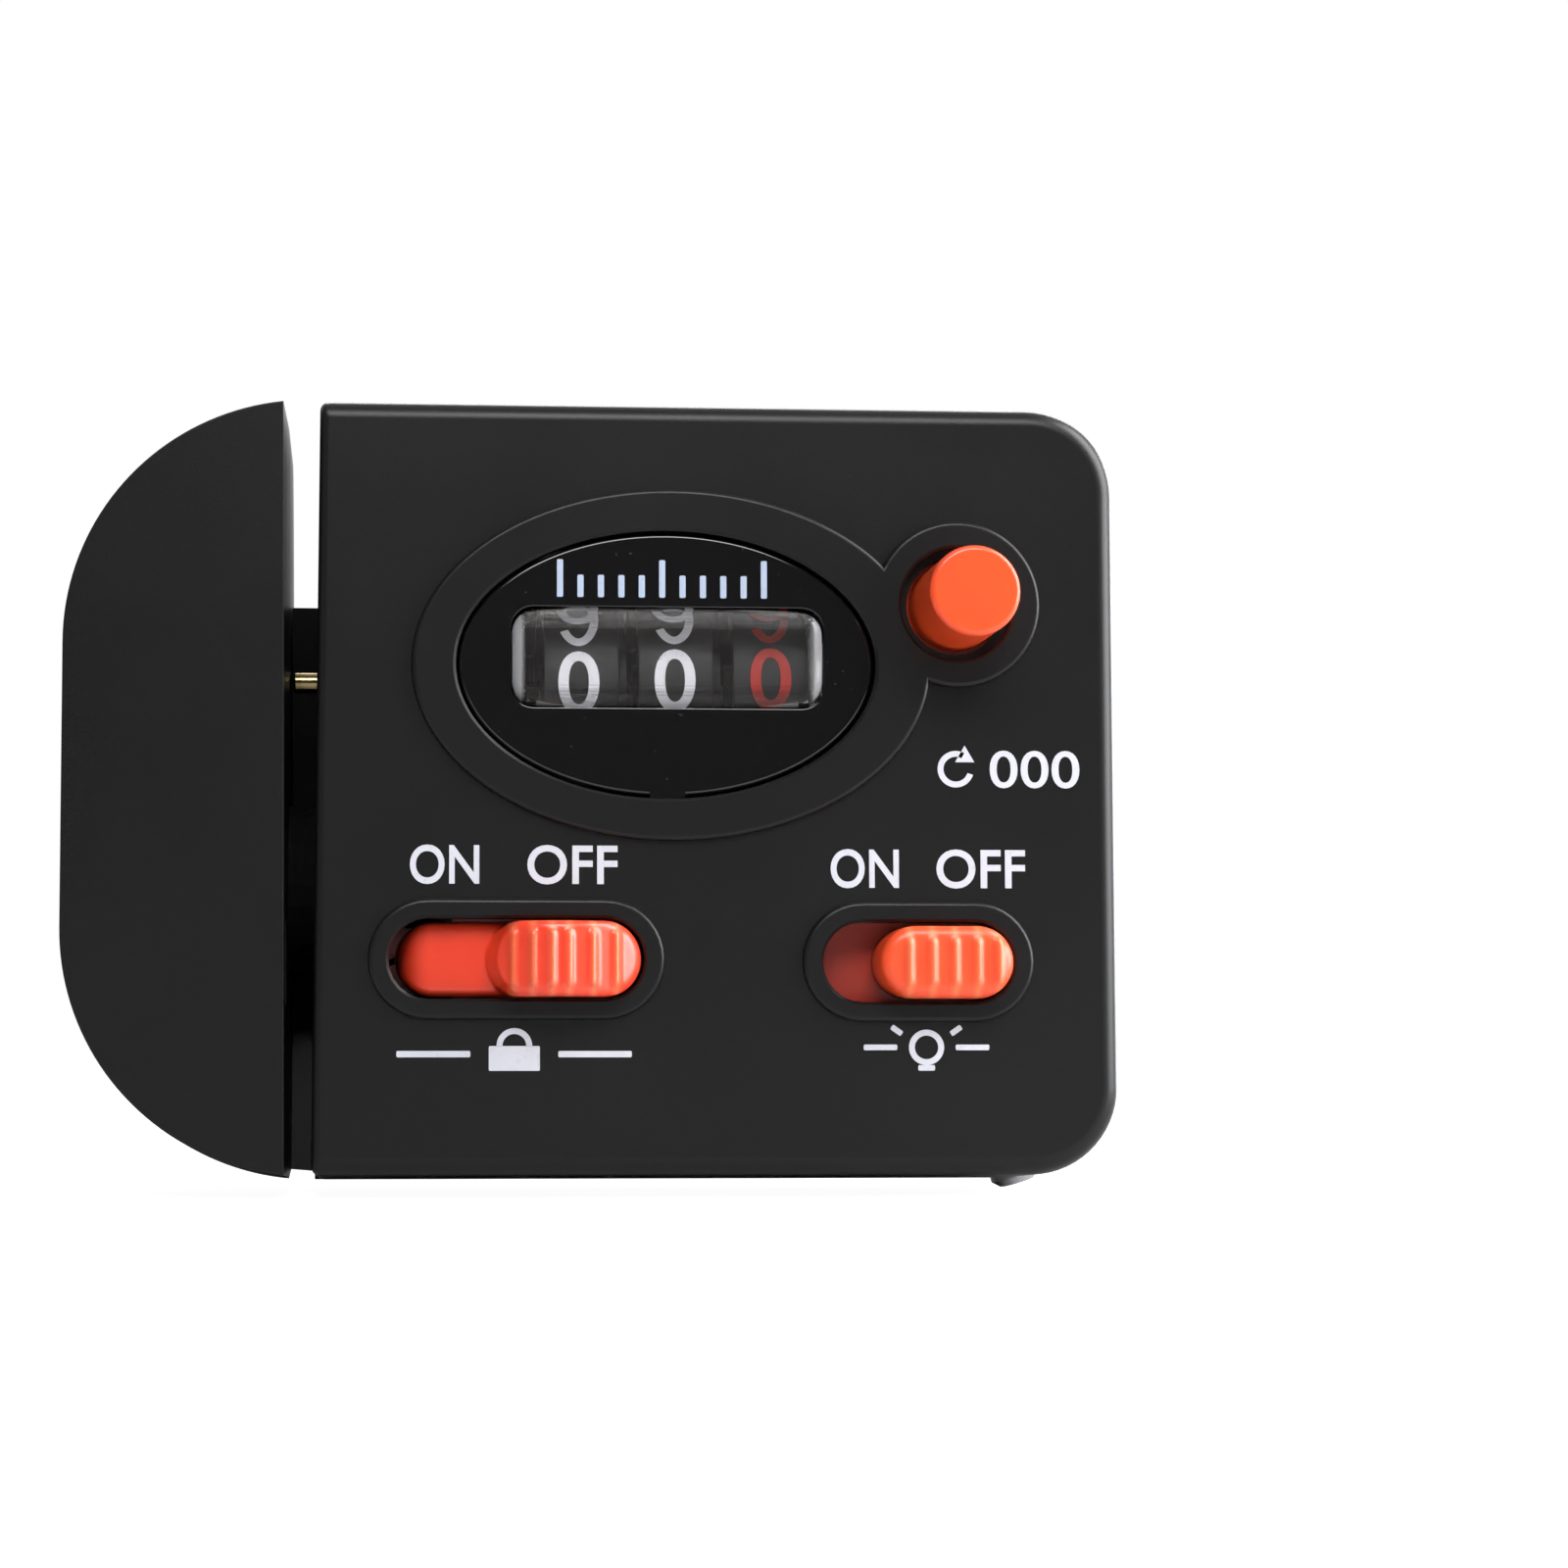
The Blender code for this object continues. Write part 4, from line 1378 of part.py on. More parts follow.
def make_clamp():
    pad("saddle_pad", -1.0)
    pad("jaw_pad", 1.0)
    groove = ROD_RADIUS + PAD_THICKNESS + GAP
    inner = ROD_RADIUS - JAW_WING
    heel_tip = SADDLE_WING - ROD_RADIUS + GAP
    plate_inner = JAW_OUTER - JAW_THICKNESS
    heel = CLAMP_REACH - STUD_RADIUS * 2.2
    corners = [(-CLAMP_SIDE, inner), (groove * 0.97 + WALL / 2, inner), (groove + WALL, plate_inner),
               (heel - WALL / 2, plate_inner), (heel, heel_tip), (CLAMP_REACH, heel_tip),
               (CLAMP_REACH, JAW_OUTER),
               (-CLAMP_SIDE, JAW_OUTER)]
    radii = [CLAMP_CORNER / 3, CLAMP_CORNER / 4, CLAMP_CORNER / 3, CLAMP_CORNER / 2, CLAMP_CORNER / 3,
             CLAMP_CORNER / 3, CLAMP_CORNER, CLAMP_CORNER]
    jaw = shape("clamp_jaw", prism(rounded(corners, radii, [2] * 8), "z", -CLAMP_HALF_LENGTH,
                                   CLAMP_HALF_LENGTH),
                CASE_PLASTIC, CLAMP)
    slope = JAW_THICKNESS * 0.75
    length = CLAMP_HALF_LENGTH
    side = [(heel_tip - OVERRUN, -length * 0.86), (inner, -length * 0.86), (inner + slope, -length),
            (JAW_OUTER - slope, -length), (JAW_OUTER, -length + slope), (JAW_OUTER, length - slope),
            (JAW_OUTER - slope, length), (inner + slope, length), (inner, length * 0.86),
            (heel_tip - OVERRUN, length * 0.86)]
    keep(jaw, shape("jaw_side", prism(side, "x", -CLAMP_REACH, CLAMP_REACH * 2), None, CLAMP))
    dish_half, dish_sink = CLAMP_HALF_LENGTH * 0.63, LIP
    dish_radius = (dish_half ** 2 + dish_sink ** 2) / (2 * dish_sink)
    raised = shape("jaw_raised", box(
        (-CLAMP_SIDE + CLAMP_CORNER, JAW_OUTER - WALL, -dish_half),
        (CLAMP_REACH - CLAMP_CORNER, JAW_OUTER + LIP, dish_half)),
        None, CLAMP)
    dish = shape("jaw_dish", rod((-CLAMP_REACH, JAW_OUTER + dish_radius, 0.0), (
        CLAMP_REACH * 2, JAW_OUTER + dish_radius, 0.0), dish_radius, 72), None, CLAMP)
    cut(raised, dish)
    add(jaw, raised)
    cut(jaw, shape("jaw_groove", rod((0.0, 0.0, -length * 2), (0.0, 0.0, length * 2), groove, ROUND_STEPS),
                   None, CLAMP))
    place = (STUD_X, 0.0, -STUD_DROP)
    cut(jaw, shape("jaw_hole", rod((STUD_X, 0.0, -STUD_DROP), (STUD_X, JAW_OUTER + LIP * 2, -STUD_DROP),
                                   STUD_RADIUS + GAP), None, CLAMP))
    sunk = JAW_OUTER - WASHER_THICKNESS - GAP
    cut(jaw, shape("washer_seat", rod((STUD_X, sunk, -STUD_DROP), (STUD_X, JAW_OUTER + LIP * 2, -STUD_DROP),
                                      WASHER_RADIUS + GAP, ROUND_STEPS), None, CLAMP))
    washer_low = sunk + FIT
    washer_high = washer_low + WASHER_THICKNESS
    hole = STUD_RADIUS + GAP * 2
    turned("clamp_washer", [
        (hole, washer_low), (WASHER_RADIUS, washer_low), (WASHER_RADIUS, washer_high), (hole, washer_high)],
        STEEL, CLAMP, place, "y")
    nut_low = washer_high + FIT
    nut_high = nut_low + NUT_THICKNESS
    make_nut(place, nut_low, nut_high)
    tip = nut_high + STUD_SHOWN
    soft = STUD_RADIUS * 0.25
    turned("clamp_stud", [
        (0.0, STUD_SEAT - STUD_HEAD_THICKNESS), (STUD_HEAD_RADIUS, STUD_SEAT - STUD_HEAD_THICKNESS),
        (STUD_HEAD_RADIUS, STUD_SEAT), (STUD_RADIUS, STUD_SEAT), (STUD_RADIUS, tip - soft),
        (STUD_RADIUS - soft, tip),
        (0.0, tip)], NICKEL, CLAMP, place, "y")


LIP = 1.7 * MM
KNURLS = 24
KNURL_DEPTH = 0.25 * MM


def make_nut(place, low, high):
    """The knurled nut: a fine-toothed outline with a chamfered outer end."""
    chamfer = NUT_RADIUS * 0.14
    sections = []
    for along, shrink in ((low, chamfer / 2), (low + chamfer / 2, 0.0), (high - chamfer, 0.0),
                          (high, chamfer)):
        ring = []
        for index in range(KNURLS * 2):
            turn = math.tau * index / (KNURLS * 2)
            radius = NUT_RADIUS - shrink - (KNURL_DEPTH if index % 2 else 0.0)
            ring.append((place[0] + radius * math.cos(turn), along, place[2] + radius * math.sin(turn)))
        sections.append(ring)
    nut = shape("clamp_nut", loft(sections), NICKEL, CLAMP, place)
    cut(nut, shape("nut_hole", rod((place[0], low - OVERRUN, place[2]), (place[0], high + OVERRUN, place[2]),
                                   STUD_RADIUS + THREAD_CLEARANCE), None, CLAMP))


make_front_cover()
make_end_cover()
make_rear_shell()
make_lens()
make_light_guide()
make_drums()
make_transfer_pinions()
make_idler()
make_counter_frame()
make_line_wheel()
make_reset()
make_reset_spring()
make_lock_slider()
make_light_slider()
make_electrics()
make_battery_door()
make_screws()
make_clamp()
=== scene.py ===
import math

import bmesh
import bpy
from mathutils import Matrix, Vector


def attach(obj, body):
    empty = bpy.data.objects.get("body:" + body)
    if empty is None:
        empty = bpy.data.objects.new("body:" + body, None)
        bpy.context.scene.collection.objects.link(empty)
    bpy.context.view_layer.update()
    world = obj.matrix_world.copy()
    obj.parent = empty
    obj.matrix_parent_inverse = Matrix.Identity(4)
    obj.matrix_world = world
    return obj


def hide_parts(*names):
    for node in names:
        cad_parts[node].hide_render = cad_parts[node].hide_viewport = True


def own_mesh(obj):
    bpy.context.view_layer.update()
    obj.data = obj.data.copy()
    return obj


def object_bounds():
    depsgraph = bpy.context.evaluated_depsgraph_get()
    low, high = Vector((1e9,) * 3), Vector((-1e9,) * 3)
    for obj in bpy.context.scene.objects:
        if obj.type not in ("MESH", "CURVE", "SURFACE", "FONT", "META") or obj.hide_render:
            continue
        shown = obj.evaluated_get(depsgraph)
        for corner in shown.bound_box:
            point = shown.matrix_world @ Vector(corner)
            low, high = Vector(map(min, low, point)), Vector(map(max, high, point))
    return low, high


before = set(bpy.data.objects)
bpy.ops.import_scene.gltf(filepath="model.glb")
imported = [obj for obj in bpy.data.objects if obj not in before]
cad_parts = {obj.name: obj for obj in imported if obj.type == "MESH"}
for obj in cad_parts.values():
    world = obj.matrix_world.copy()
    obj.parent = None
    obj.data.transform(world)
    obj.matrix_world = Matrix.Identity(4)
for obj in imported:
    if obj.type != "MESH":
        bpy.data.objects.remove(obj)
cad_bounds = [list(corner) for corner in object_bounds()]

# Front cover
# The front half of the main case, moulded in black ABS with a spark-eroded finish. Its face carries low rims
# round the lens, the reset button and the two slide openings, and four screws from behind hold it.

MM = 0.001
ROD_DEPTH = 35.8
ROD_HEIGHT = 23.2
ORIGIN = Vector((0.0, ROD_DEPTH, ROD_HEIGHT))
CASE_LEFT = -16.7
CASE_RIGHT = 58.4
CASE_HEIGHT = 55.0
LEFT_CORNER = 17.4
RIGHT_CORNER = 6.2
EDGE_ROUND = 1.3
PARTING = 14.5
COVER_BACK = PARTING - 0.15
FACE_WALL = 2.0
SIDE_WALL = 1.8
FACE_DRAFT = math.tan(math.radians(3.2))
SLOT_HALF = 0.95
SLOT_FLARE = 0.35
RIM_FRONT = -0.45
RIM_ROUND = 0.36
MOUTH_FLARE = 0.2


def at(x, y, z):
    """A place in the frame, from mm right of the slot, behind the face and above the foot of the case."""
    return (Vector((x, y, z)) - ORIGIN) * MM


def spot(point):
    """The mm of a point, the other way round."""
    return point / MM + ORIGIN


def middle(item):
    """The mm of a vertex, or of the middle of an edge or face."""
    if isinstance(item, bmesh.types.BMVert):
        return spot(item.co)
    return spot(sum((vert.co for vert in item.verts), Vector()) / len(item.verts))


def every(item):
    """True for any vertex, edge or face."""
    return True


def alone(piece):
    """Makes a piece the only one selected, and the active one."""
    bpy.ops.object.select_all(action="DESELECT")
    piece.select_set(True)
    bpy.context.view_layer.objects.active = piece


def named(name, size=(1.0, 1.0, 1.0)):
    """The primitive just added, scaled in mm, with its place moved into its mesh."""
    piece = bpy.context.object
    piece.name = name
    piece.data.name = name
    piece.scale = [part * MM for part in size]
    bpy.ops.object.transform_apply(location=True, rotation=True, scale=True)
    return piece


def select(piece, kind, wanted):
    """Opens a piece in edit mode with only its wanted vertices, edges or faces selected."""
    alone(piece)
    bpy.ops.object.mode_set(mode="EDIT")
    bpy.ops.mesh.select_mode(type=kind)
    bpy.ops.mesh.select_all(action="DESELECT")
    mesh = bmesh.from_edit_mesh(piece.data)
    items = {"VERT": mesh.verts, "EDGE": mesh.edges, "FACE": mesh.faces}[kind]
    for item in items:
        if wanted(item):
            item.select_set(True)
    mesh.select_flush_mode()
    bmesh.update_edit_mesh(piece.data)


def extrude(x, y, z):
    """Extrudes what is selected, in metres."""
    bpy.ops.mesh.extrude_region_move(TRANSFORM_OT_translate={"value": (x, y, z)})


def done(outwards=False):
    """Closes edit mode, with all faces turned outwards first where that is asked."""
    if outwards:
        bpy.ops.mesh.select_all(action="SELECT")
        bpy.ops.mesh.normals_make_consistent(inside=False)
    bpy.ops.object.mode_set(mode="OBJECT")


def round_edges(piece, wanted, width, segments=3, kind="EDGE"):
    """Bevels the wanted edges or vertices by mm."""
    affect = "VERTICES" if kind == "VERT" else "EDGES"
    select(piece, kind, wanted)
    bpy.ops.mesh.bevel(offset=width * MM, segments=segments, affect=affect)
    done()


def combine(piece, operation, *tools):
    """Adds tools to a piece or cuts them from it, and removes them."""
    for tool in tools:
        step = piece.modifiers.new("combine", "BOOLEAN")
        step.operation = operation
        step.object = tool
        step.solver = "MANIFOLD"
        alone(piece)
        bpy.ops.object.modifier_apply(modifier=step.name)
        bpy.data.objects.remove(tool)


def plate(name, left, right, low, high, radii, depth, facing=1):
    """A flat sheet across the case with its corners rounded, from the lower left one on, facing forward."""
    centre = at((left + right) / 2, depth, (low + high) / 2)
    bpy.ops.mesh.primitive_plane_add(size=1.0, location=centre, rotation=(facing * math.pi / 2, 0.0, 0.0))
    sheet = named(name, (right - left, high - low, 1.0))
    for x, z, radius in zip((left, right, right, left), (low, low, high, high), radii):
        if radius:
            corner = Vector((x, depth, z))
            steps = max(6, int(radius * 2.2))
            round_edges(sheet, lambda vert: (middle(vert) - corner).length < 0.01, radius, steps, "VERT")
    select(sheet, "VERT", every)
    bpy.ops.mesh.remove_doubles(threshold=0.00004)
    done()
    return sheet


def thicken(piece, travel):
    """Extrudes a flat sheet into a block, by mm along y."""
    select(piece, "FACE", every)
    extrude(0.0, travel * MM, 0.0)
    done(True)
    return piece


def block(name, left, right, low, high, radii, front, back):
    """A block with rounded corners, from a front to a back depth."""
    return thicken(plate(name, left, right, low, high, radii, back), front - back)


def oval(name, x, z, half_width, half_height, depth, steps):
    """A flat oval sheet that faces back."""
    bpy.ops.mesh.primitive_circle_add(vertices=steps, radius=1.0, fill_type="NGON", location=at(x, depth, z),
                                      rotation=(-math.pi / 2, 0.0, 0.0))
    return named(name, (half_width, half_height, 1.0))


def opening(sheet, back):
    """Turns a sheet 1 mm in front of the rims into a cutting block with a flared mouth at the rims."""
    select(sheet, "FACE", every)
    extrude(0.0, MM, 0.0)
    bpy.ops.mesh.inset(thickness=MOUTH_FLARE * MM, depth=MOUTH_FLARE * MM, use_even_offset=True)
    extrude(0.0, (back - RIM_FRONT - MOUTH_FLARE) * MM, 0.0)
    done(True)
    return sheet


def disc(name, x, z, half_width, half_height, front, back, steps):
    """A round or oval block along y."""
    bpy.ops.mesh.primitive_cylinder_add(vertices=steps, radius=1.0, depth=1.0,
                                        location=at(x, (front + back) / 2, z),
                                        rotation=(math.pi / 2, 0.0, 0.0))
    return named(name, (half_width, half_height, back - front))


def case_block(name, base, end, base_grow, end_grow):
    """The outline of the whole case as a block that narrows with its draft, from its base forward to its end,
    where each is grown by mm beyond the outline at the face."""
    left, right = CASE_LEFT - base_grow, CASE_RIGHT + base_grow
    low, high = -base_grow, CASE_HEIGHT + base_grow
    large, small = LEFT_CORNER + base_grow, RIGHT_CORNER + base_grow
    shell = plate(name, left, right, low, high, [large, small, small, large], base)
    select(shell, "FACE", every)
    bpy.ops.mesh.inset(thickness=(base_grow - end_grow) * MM, depth=(base - end) * MM, use_even_offset=True)
    bpy.ops.mesh.select_mode(type="EDGE")
    bpy.ops.mesh.select_all(action="DESELECT")
    bpy.ops.mesh.select_non_manifold()
    bpy.ops.mesh.edge_face_add()
    done(True)
    return shell


def slot_edge(z, wall=0.0):
    """How far a side of the line slot, or of a wall beside it, stands from the middle: it opens upwards."""
    return SLOT_HALF + SLOT_FLARE * z / CASE_HEIGHT + wall


def split_at_slot(piece, side, wall=0.0):
    """Keeps what lies on one side of the line slot: 1 is the main case and -1 the end piece."""
    lean = math.atan(SLOT_FLARE / CASE_HEIGHT)
    select(piece, "FACE", every)
    bpy.ops.mesh.bisect(plane_co=at(side * slot_edge(0.0, wall), 0.0, 0.0), threshold=0.000001,
                        plane_no=(side * math.cos(lean), 0.0, -math.sin(lean)),
                        use_fill=True, clear_inner=True)
    done(True)


def round_case(piece, side, slot_round):
    """Rounds the rim of the face, and more finely the edges along the slot, in one bevel."""
    weights = piece.data.attributes.new("bevel_weight_edge", "FLOAT", "EDGE")
    places = [spot(vert.co) for vert in piece.data.vertices]
    for edge in piece.data.edges:
        ends = [places[index] for index in edge.vertices]
        at_slot = all(abs(side * point.x - slot_edge(point.z)) < 0.01 for point in ends)
        at_back = all(abs(point.y - COVER_BACK) < 0.01 for point in ends)
        at_front = all(abs(point.y) < 0.01 for point in ends)
        if at_slot and not at_back:
            weights.data[edge.index].value = slot_round / EDGE_ROUND
        elif at_front:
            weights.data[edge.index].value = 1.0
    bevel = piece.modifiers.new("rounding", "BEVEL")
    bevel.limit_method = "WEIGHT"
    bevel.width = EDGE_ROUND * MM
    bevel.segments = 5
    alone(piece)
    bpy.ops.object.modifier_apply(modifier=bevel.name)


def front_half(name, side, slot_round):
    """One front moulding: the outer block split at the slot and hollowed."""
    spread = COVER_BACK * FACE_DRAFT
    half = case_block(name, COVER_BACK, 0.0, spread, 0.0)
    split_at_slot(half, side)
    round_case(half, side, slot_round)
    hollow = case_block("hollow", COVER_BACK + 1.0, FACE_WALL, spread - SIDE_WALL,
                        FACE_WALL * FACE_DRAFT - SIDE_WALL)
    split_at_slot(hollow, side, SIDE_WALL)
    combine(half, "DIFFERENCE", hollow)
    return half


def screw_posts(half, places, radius, hole, back, hole_front):
    """Round posts behind the face, each with a blind hole for its screw."""
    for x, z in places:
        combine(half, "UNION", disc("post", x, z, radius, radius, 1.0, back, 32))
        combine(half, "DIFFERENCE", disc("post_hole", x, z, hole, hole, hole_front, back + 1.0, 24))


def finished(piece, body, material, slot, *nodes, angle=35.0):
    """Shading and material for a finished piece, which is attached to its body, with the solids it stands for
    hidden.
    """
    alone(piece)
    bpy.ops.object.shade_smooth_by_angle(angle=math.radians(angle))
    weighted = piece.modifiers.new("even_shading", "WEIGHTED_NORMAL")
    weighted.keep_sharp = True
    bpy.ops.object.modifier_apply(modifier=weighted.name)
    piece.data.materials.clear()
    piece.data.materials.append(material)
    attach(piece, body)
    if nodes:
        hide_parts(*nodes)


class Link:
    """A socket of a material. Sums written on it become Math nodes."""

    def __init__(self, tree, socket=None):
        self.tree = tree
        self.socket = socket

    def node(self, kind, settings=None, values=None, output=0):
        """A new node with its settings, and the values or links of its sockets."""
        made = self.tree.nodes.new(kind)
        for key, value in (settings or {}).items():
            if key == "stops":
                ramp = made.color_ramp.elements
                while len(ramp) < len(value):
                    ramp.new(0.5)
                for element, (place, shade) in zip(ramp, value):
                    element.position = place
                    element.color = (shade, shade, shade, 1.0)
            else:
                setattr(made, key, value)
        for key, value in (values or {}).items():
            if isinstance(value, Link):
                self.tree.links.new(value.socket, made.inputs[key])
            else:
                made.inputs[key].default_value = value
        return Link(self.tree, made.outputs[output])

    def sum(self, operation, first, second):
        return self.node("ShaderNodeMath", {"operation": operation}, {0: first, 1: second})

    def __add__(self, other):
        return self.sum("ADD", self, other)

    def __radd__(self, other):
        return self.sum("ADD", other, self)

    def __sub__(self, other):
        return self.sum("SUBTRACT", self, other)

    def __rsub__(self, other):
        return self.sum("SUBTRACT", other, self)

    def __mul__(self, other):
        return self.sum("MULTIPLY", self, other)

    def __rmul__(self, other):
        return self.sum("MULTIPLY", other, self)

    def axis(self, index):
        """One of the three numbers of a place."""
        return self.node("ShaderNodeSeparateXYZ", None, {0: self}, index)

    def away_from(self, value):
        """How far this value is from another, on either side."""
        return self.sum("ABSOLUTE", self - value, 0.0)

    def noise(self, scale, detail=2.0, roughness=0.5):
        """Noise over the piece, about 0 to 1, with its grain in repeats per metre."""
        return self.node("ShaderNodeTexNoise", None, {
            "Vector": self, "Scale": scale, "Detail": detail, "Roughness": roughness})

    def steps(self, *stops):
        """This value through a ramp of greys."""
        return self.node("ShaderNodeValToRGB", {"stops": stops}, {"Fac": self})

    def mixed(self, first, second):
        """Two colours mixed by this value."""
        return self.node("ShaderNodeMix", {"data_type": "RGBA"}, {0: self, 6: first, 7: second}, 2)


def surface(name, constants):
    """A new material: its object coordinates, its shader and the constants set on it."""
    made = bpy.data.materials.new(name)
    made.use_nodes = True
    tree = made.node_tree
    shader = tree.nodes["Principled BSDF"]
    for key, value in constants.items():
        shader.inputs[key].default_value = value
    place = Link(tree).node("ShaderNodeTexCoord", output=3)
    return made, shader, place


def drive(shader, socket, link):
    """Feeds a value that varies over the piece to a socket of its shader."""
    link.tree.links.new(link.socket, shader.inputs[socket])


def bump(place, height, strength, depth):
    """A normal from a height, with its depth in mm."""
    values = {"Strength": strength, "Distance": depth * MM, "Height": height}
    return place.node("ShaderNodeBump", None, values)


def moulded_black(name, grain, grain_strength, low_rough, high_rough):
    """Black ABS: a fine eroded grain, slight patches of polish and a little dust in the colour."""
    made, shader, place = surface(name, {"IOR": 1.53, "Specular IOR Level": 0.27})
    patches = place.noise(90.0, 3.0)
    fine = place.noise(grain, 3.0, 0.6)
    dust = place.noise(grain * 0.6, 4.0, 0.7).steps((0.62, 0.0), (0.80, 1.0))
    colour = (dust * 0.4).mixed((0.0042, 0.0042, 0.0046, 1.0), (0.020, 0.020, 0.022, 1.0))
    drive(shader, "Base Color", colour)
    drive(shader, "Roughness", low_rough + (high_rough - low_rough) * (patches * 0.6 + fine * 0.4))
    drive(shader, "Normal", bump(place, fine, grain_strength, 0.03))
    return made


def at_face(edge, depth):
    """True for a sharp edge at a depth."""
    return edge.calc_face_angle(0.0) > 0.5 and all(
        abs(spot(vert.co).y - depth) < 0.005 for vert in edge.verts)


def round_rim(rim):
    """Rounds the front edge of a raised rim."""
    round_edges(rim, lambda edge: at_face(edge, RIM_FRONT), RIM_ROUND, 4)


CASE_BLACK = moulded_black("case_black", 5200.0, 0.25, 0.30, 0.43)
LENS_X = 26.0
LENS_Z = 36.2
BUTTON_X = 46.9
BUTTON_Z = 40.7
SLIDE_CORNERS = [4.27] * 4
HOLE_CORNERS = [3.049] * 4
HOLE_START = RIM_FRONT - 1.0
FRONT_SCREWS = [(8.3, 49.0), (53.0, 48.5), (7.0, 5.6), (53.4, 30.0)]
COUNTER_FRAME_SCREWS = [(12.0, 43.6), (44.2, 31.2)]
BOARD_SCREWS = [(33.0, 22.8), (52.4, 22.8)]
TONGUE_LOW = 12.1
TONGUE_HIGH = 18.3

front_cover = front_half("front_cover_moulding", side=1, slot_round=0.7)
rims = disc("rims", 26.4, LENS_Z, 18.55, 12.6, RIM_FRONT, 1.0, 160)
combine(rims, "UNION", disc("button_rim", BUTTON_X, BUTTON_Z, 6.0, 6.0, RIM_FRONT, 1.0, 96))
select(rims, "FACE", every)
bpy.ops.mesh.dissolve_limited(angle_limit=math.radians(0.2))
done()
round_rim(rims)
lock_rim = block("lock_rim", 4.85, 25.85, 10.95, 19.5, SLIDE_CORNERS, RIM_FRONT, 1.0)
light_rim = block("light_rim", 35.65, 52.25, 10.8, 19.35, SLIDE_CORNERS, RIM_FRONT, 1.0)
round_rim(lock_rim)
round_rim(light_rim)
combine(front_cover, "UNION", rims, lock_rim, light_rim)
for sheet, back in ((oval("lens_hole", LENS_X, LENS_Z, 15.2, 9.8, HOLE_START, 160), 3.0),
                    (oval("button_hole", BUTTON_X, BUTTON_Z, 4.25, 4.25, HOLE_START, 96), 0.8),
                    (plate("lock_hole", 6.1, 24.6, 12.2, 18.3, HOLE_CORNERS, HOLE_START, -1), 3.0),
                    (plate("light_hole", 36.9, 51.0, 12.0, 18.1, HOLE_CORNERS, HOLE_START, -1), 3.0)):
    combine(front_cover, "DIFFERENCE", opening(sheet, back))
combine(front_cover, "DIFFERENCE", disc("button_bore", BUTTON_X, BUTTON_Z, 3.5, 3.5, 0.0, 3.0, 96))
screw_posts(front_cover, FRONT_SCREWS, radius=2.6, hole=1.2, back=COVER_BACK, hole_front=6.7)
screw_posts(front_cover, COUNTER_FRAME_SCREWS, radius=2.1, hole=1.2, back=9.3, hole_front=4.0)
screw_posts(front_cover, BOARD_SCREWS, radius=2.1, hole=1.2, back=8.1, hole_front=4.0)
combine(front_cover, "DIFFERENCE",
        block("tongue_window", 0.3, 3.6, TONGUE_LOW, TONGUE_HIGH, [0.3] * 4, 2.2, 7.4),
        block("tail_room", 0.3, 9.2, 12.05, 18.45, [0.5] * 4, 0.75, 3.0))
finished(front_cover, "case", CASE_BLACK, "case_plastic", "front_cover")

# End cover
# The front half of the end piece across the slot, with two large arcs, in the same black moulding as the main
# cover. Two screws from behind hold it, and a window in its slot wall takes the tongue of the line lock.

END_SCREWS = [(-8.0, 44.0), (-8.0, 11.0)]

end_cover = front_half("end_cover_moulding", side=-1, slot_round=0.4)
screw_posts(end_cover, END_SCREWS, radius=2.6, hole=1.2, back=COVER_BACK, hole_front=6.7)
combine(end_cover, "DIFFERENCE",
        block("end_tongue_window", -3.6, -0.3, TONGUE_LOW, TONGUE_HIGH, [0.3] * 4, 2.2, 7.4))
finished(end_cover, "case", CASE_BLACK, "case_plastic", "end_cover")

# Lens
# An oval acrylic lens, painted black behind except over the drums, with a clear bar moulded proud over them.
# A small tab at its lower edge keys it in the cover.

LENS_FRONT = -0.05
BAR_X = 26.1
BAR_Z = 36.7
END_SHEEN_FROM = 10.15
TOP_SHEEN_FROM = 37.6
FADE = 0.35


def glossy_black():
    """Black paint seen through acrylic, with faint smears and a few specks of dust."""
    made, shader, place = surface("lens_black", {"IOR": 1.49, "Coat Weight": 0.3, "Coat Roughness": 0.02})
    smears = place.noise(160.0, 3.0)
    specks = place.noise(2600.0, 1.0).steps((0.74, 0.0), (0.80, 1.0))
    colour = (specks * 0.4).mixed((0.0045, 0.0045, 0.005, 1.0), (0.05, 0.05, 0.055, 1.0))
    drive(shader, "Base Color", colour)
    drive(shader, "Roughness", 0.045 + smears * 0.05 + specks * 0.2)
    return made


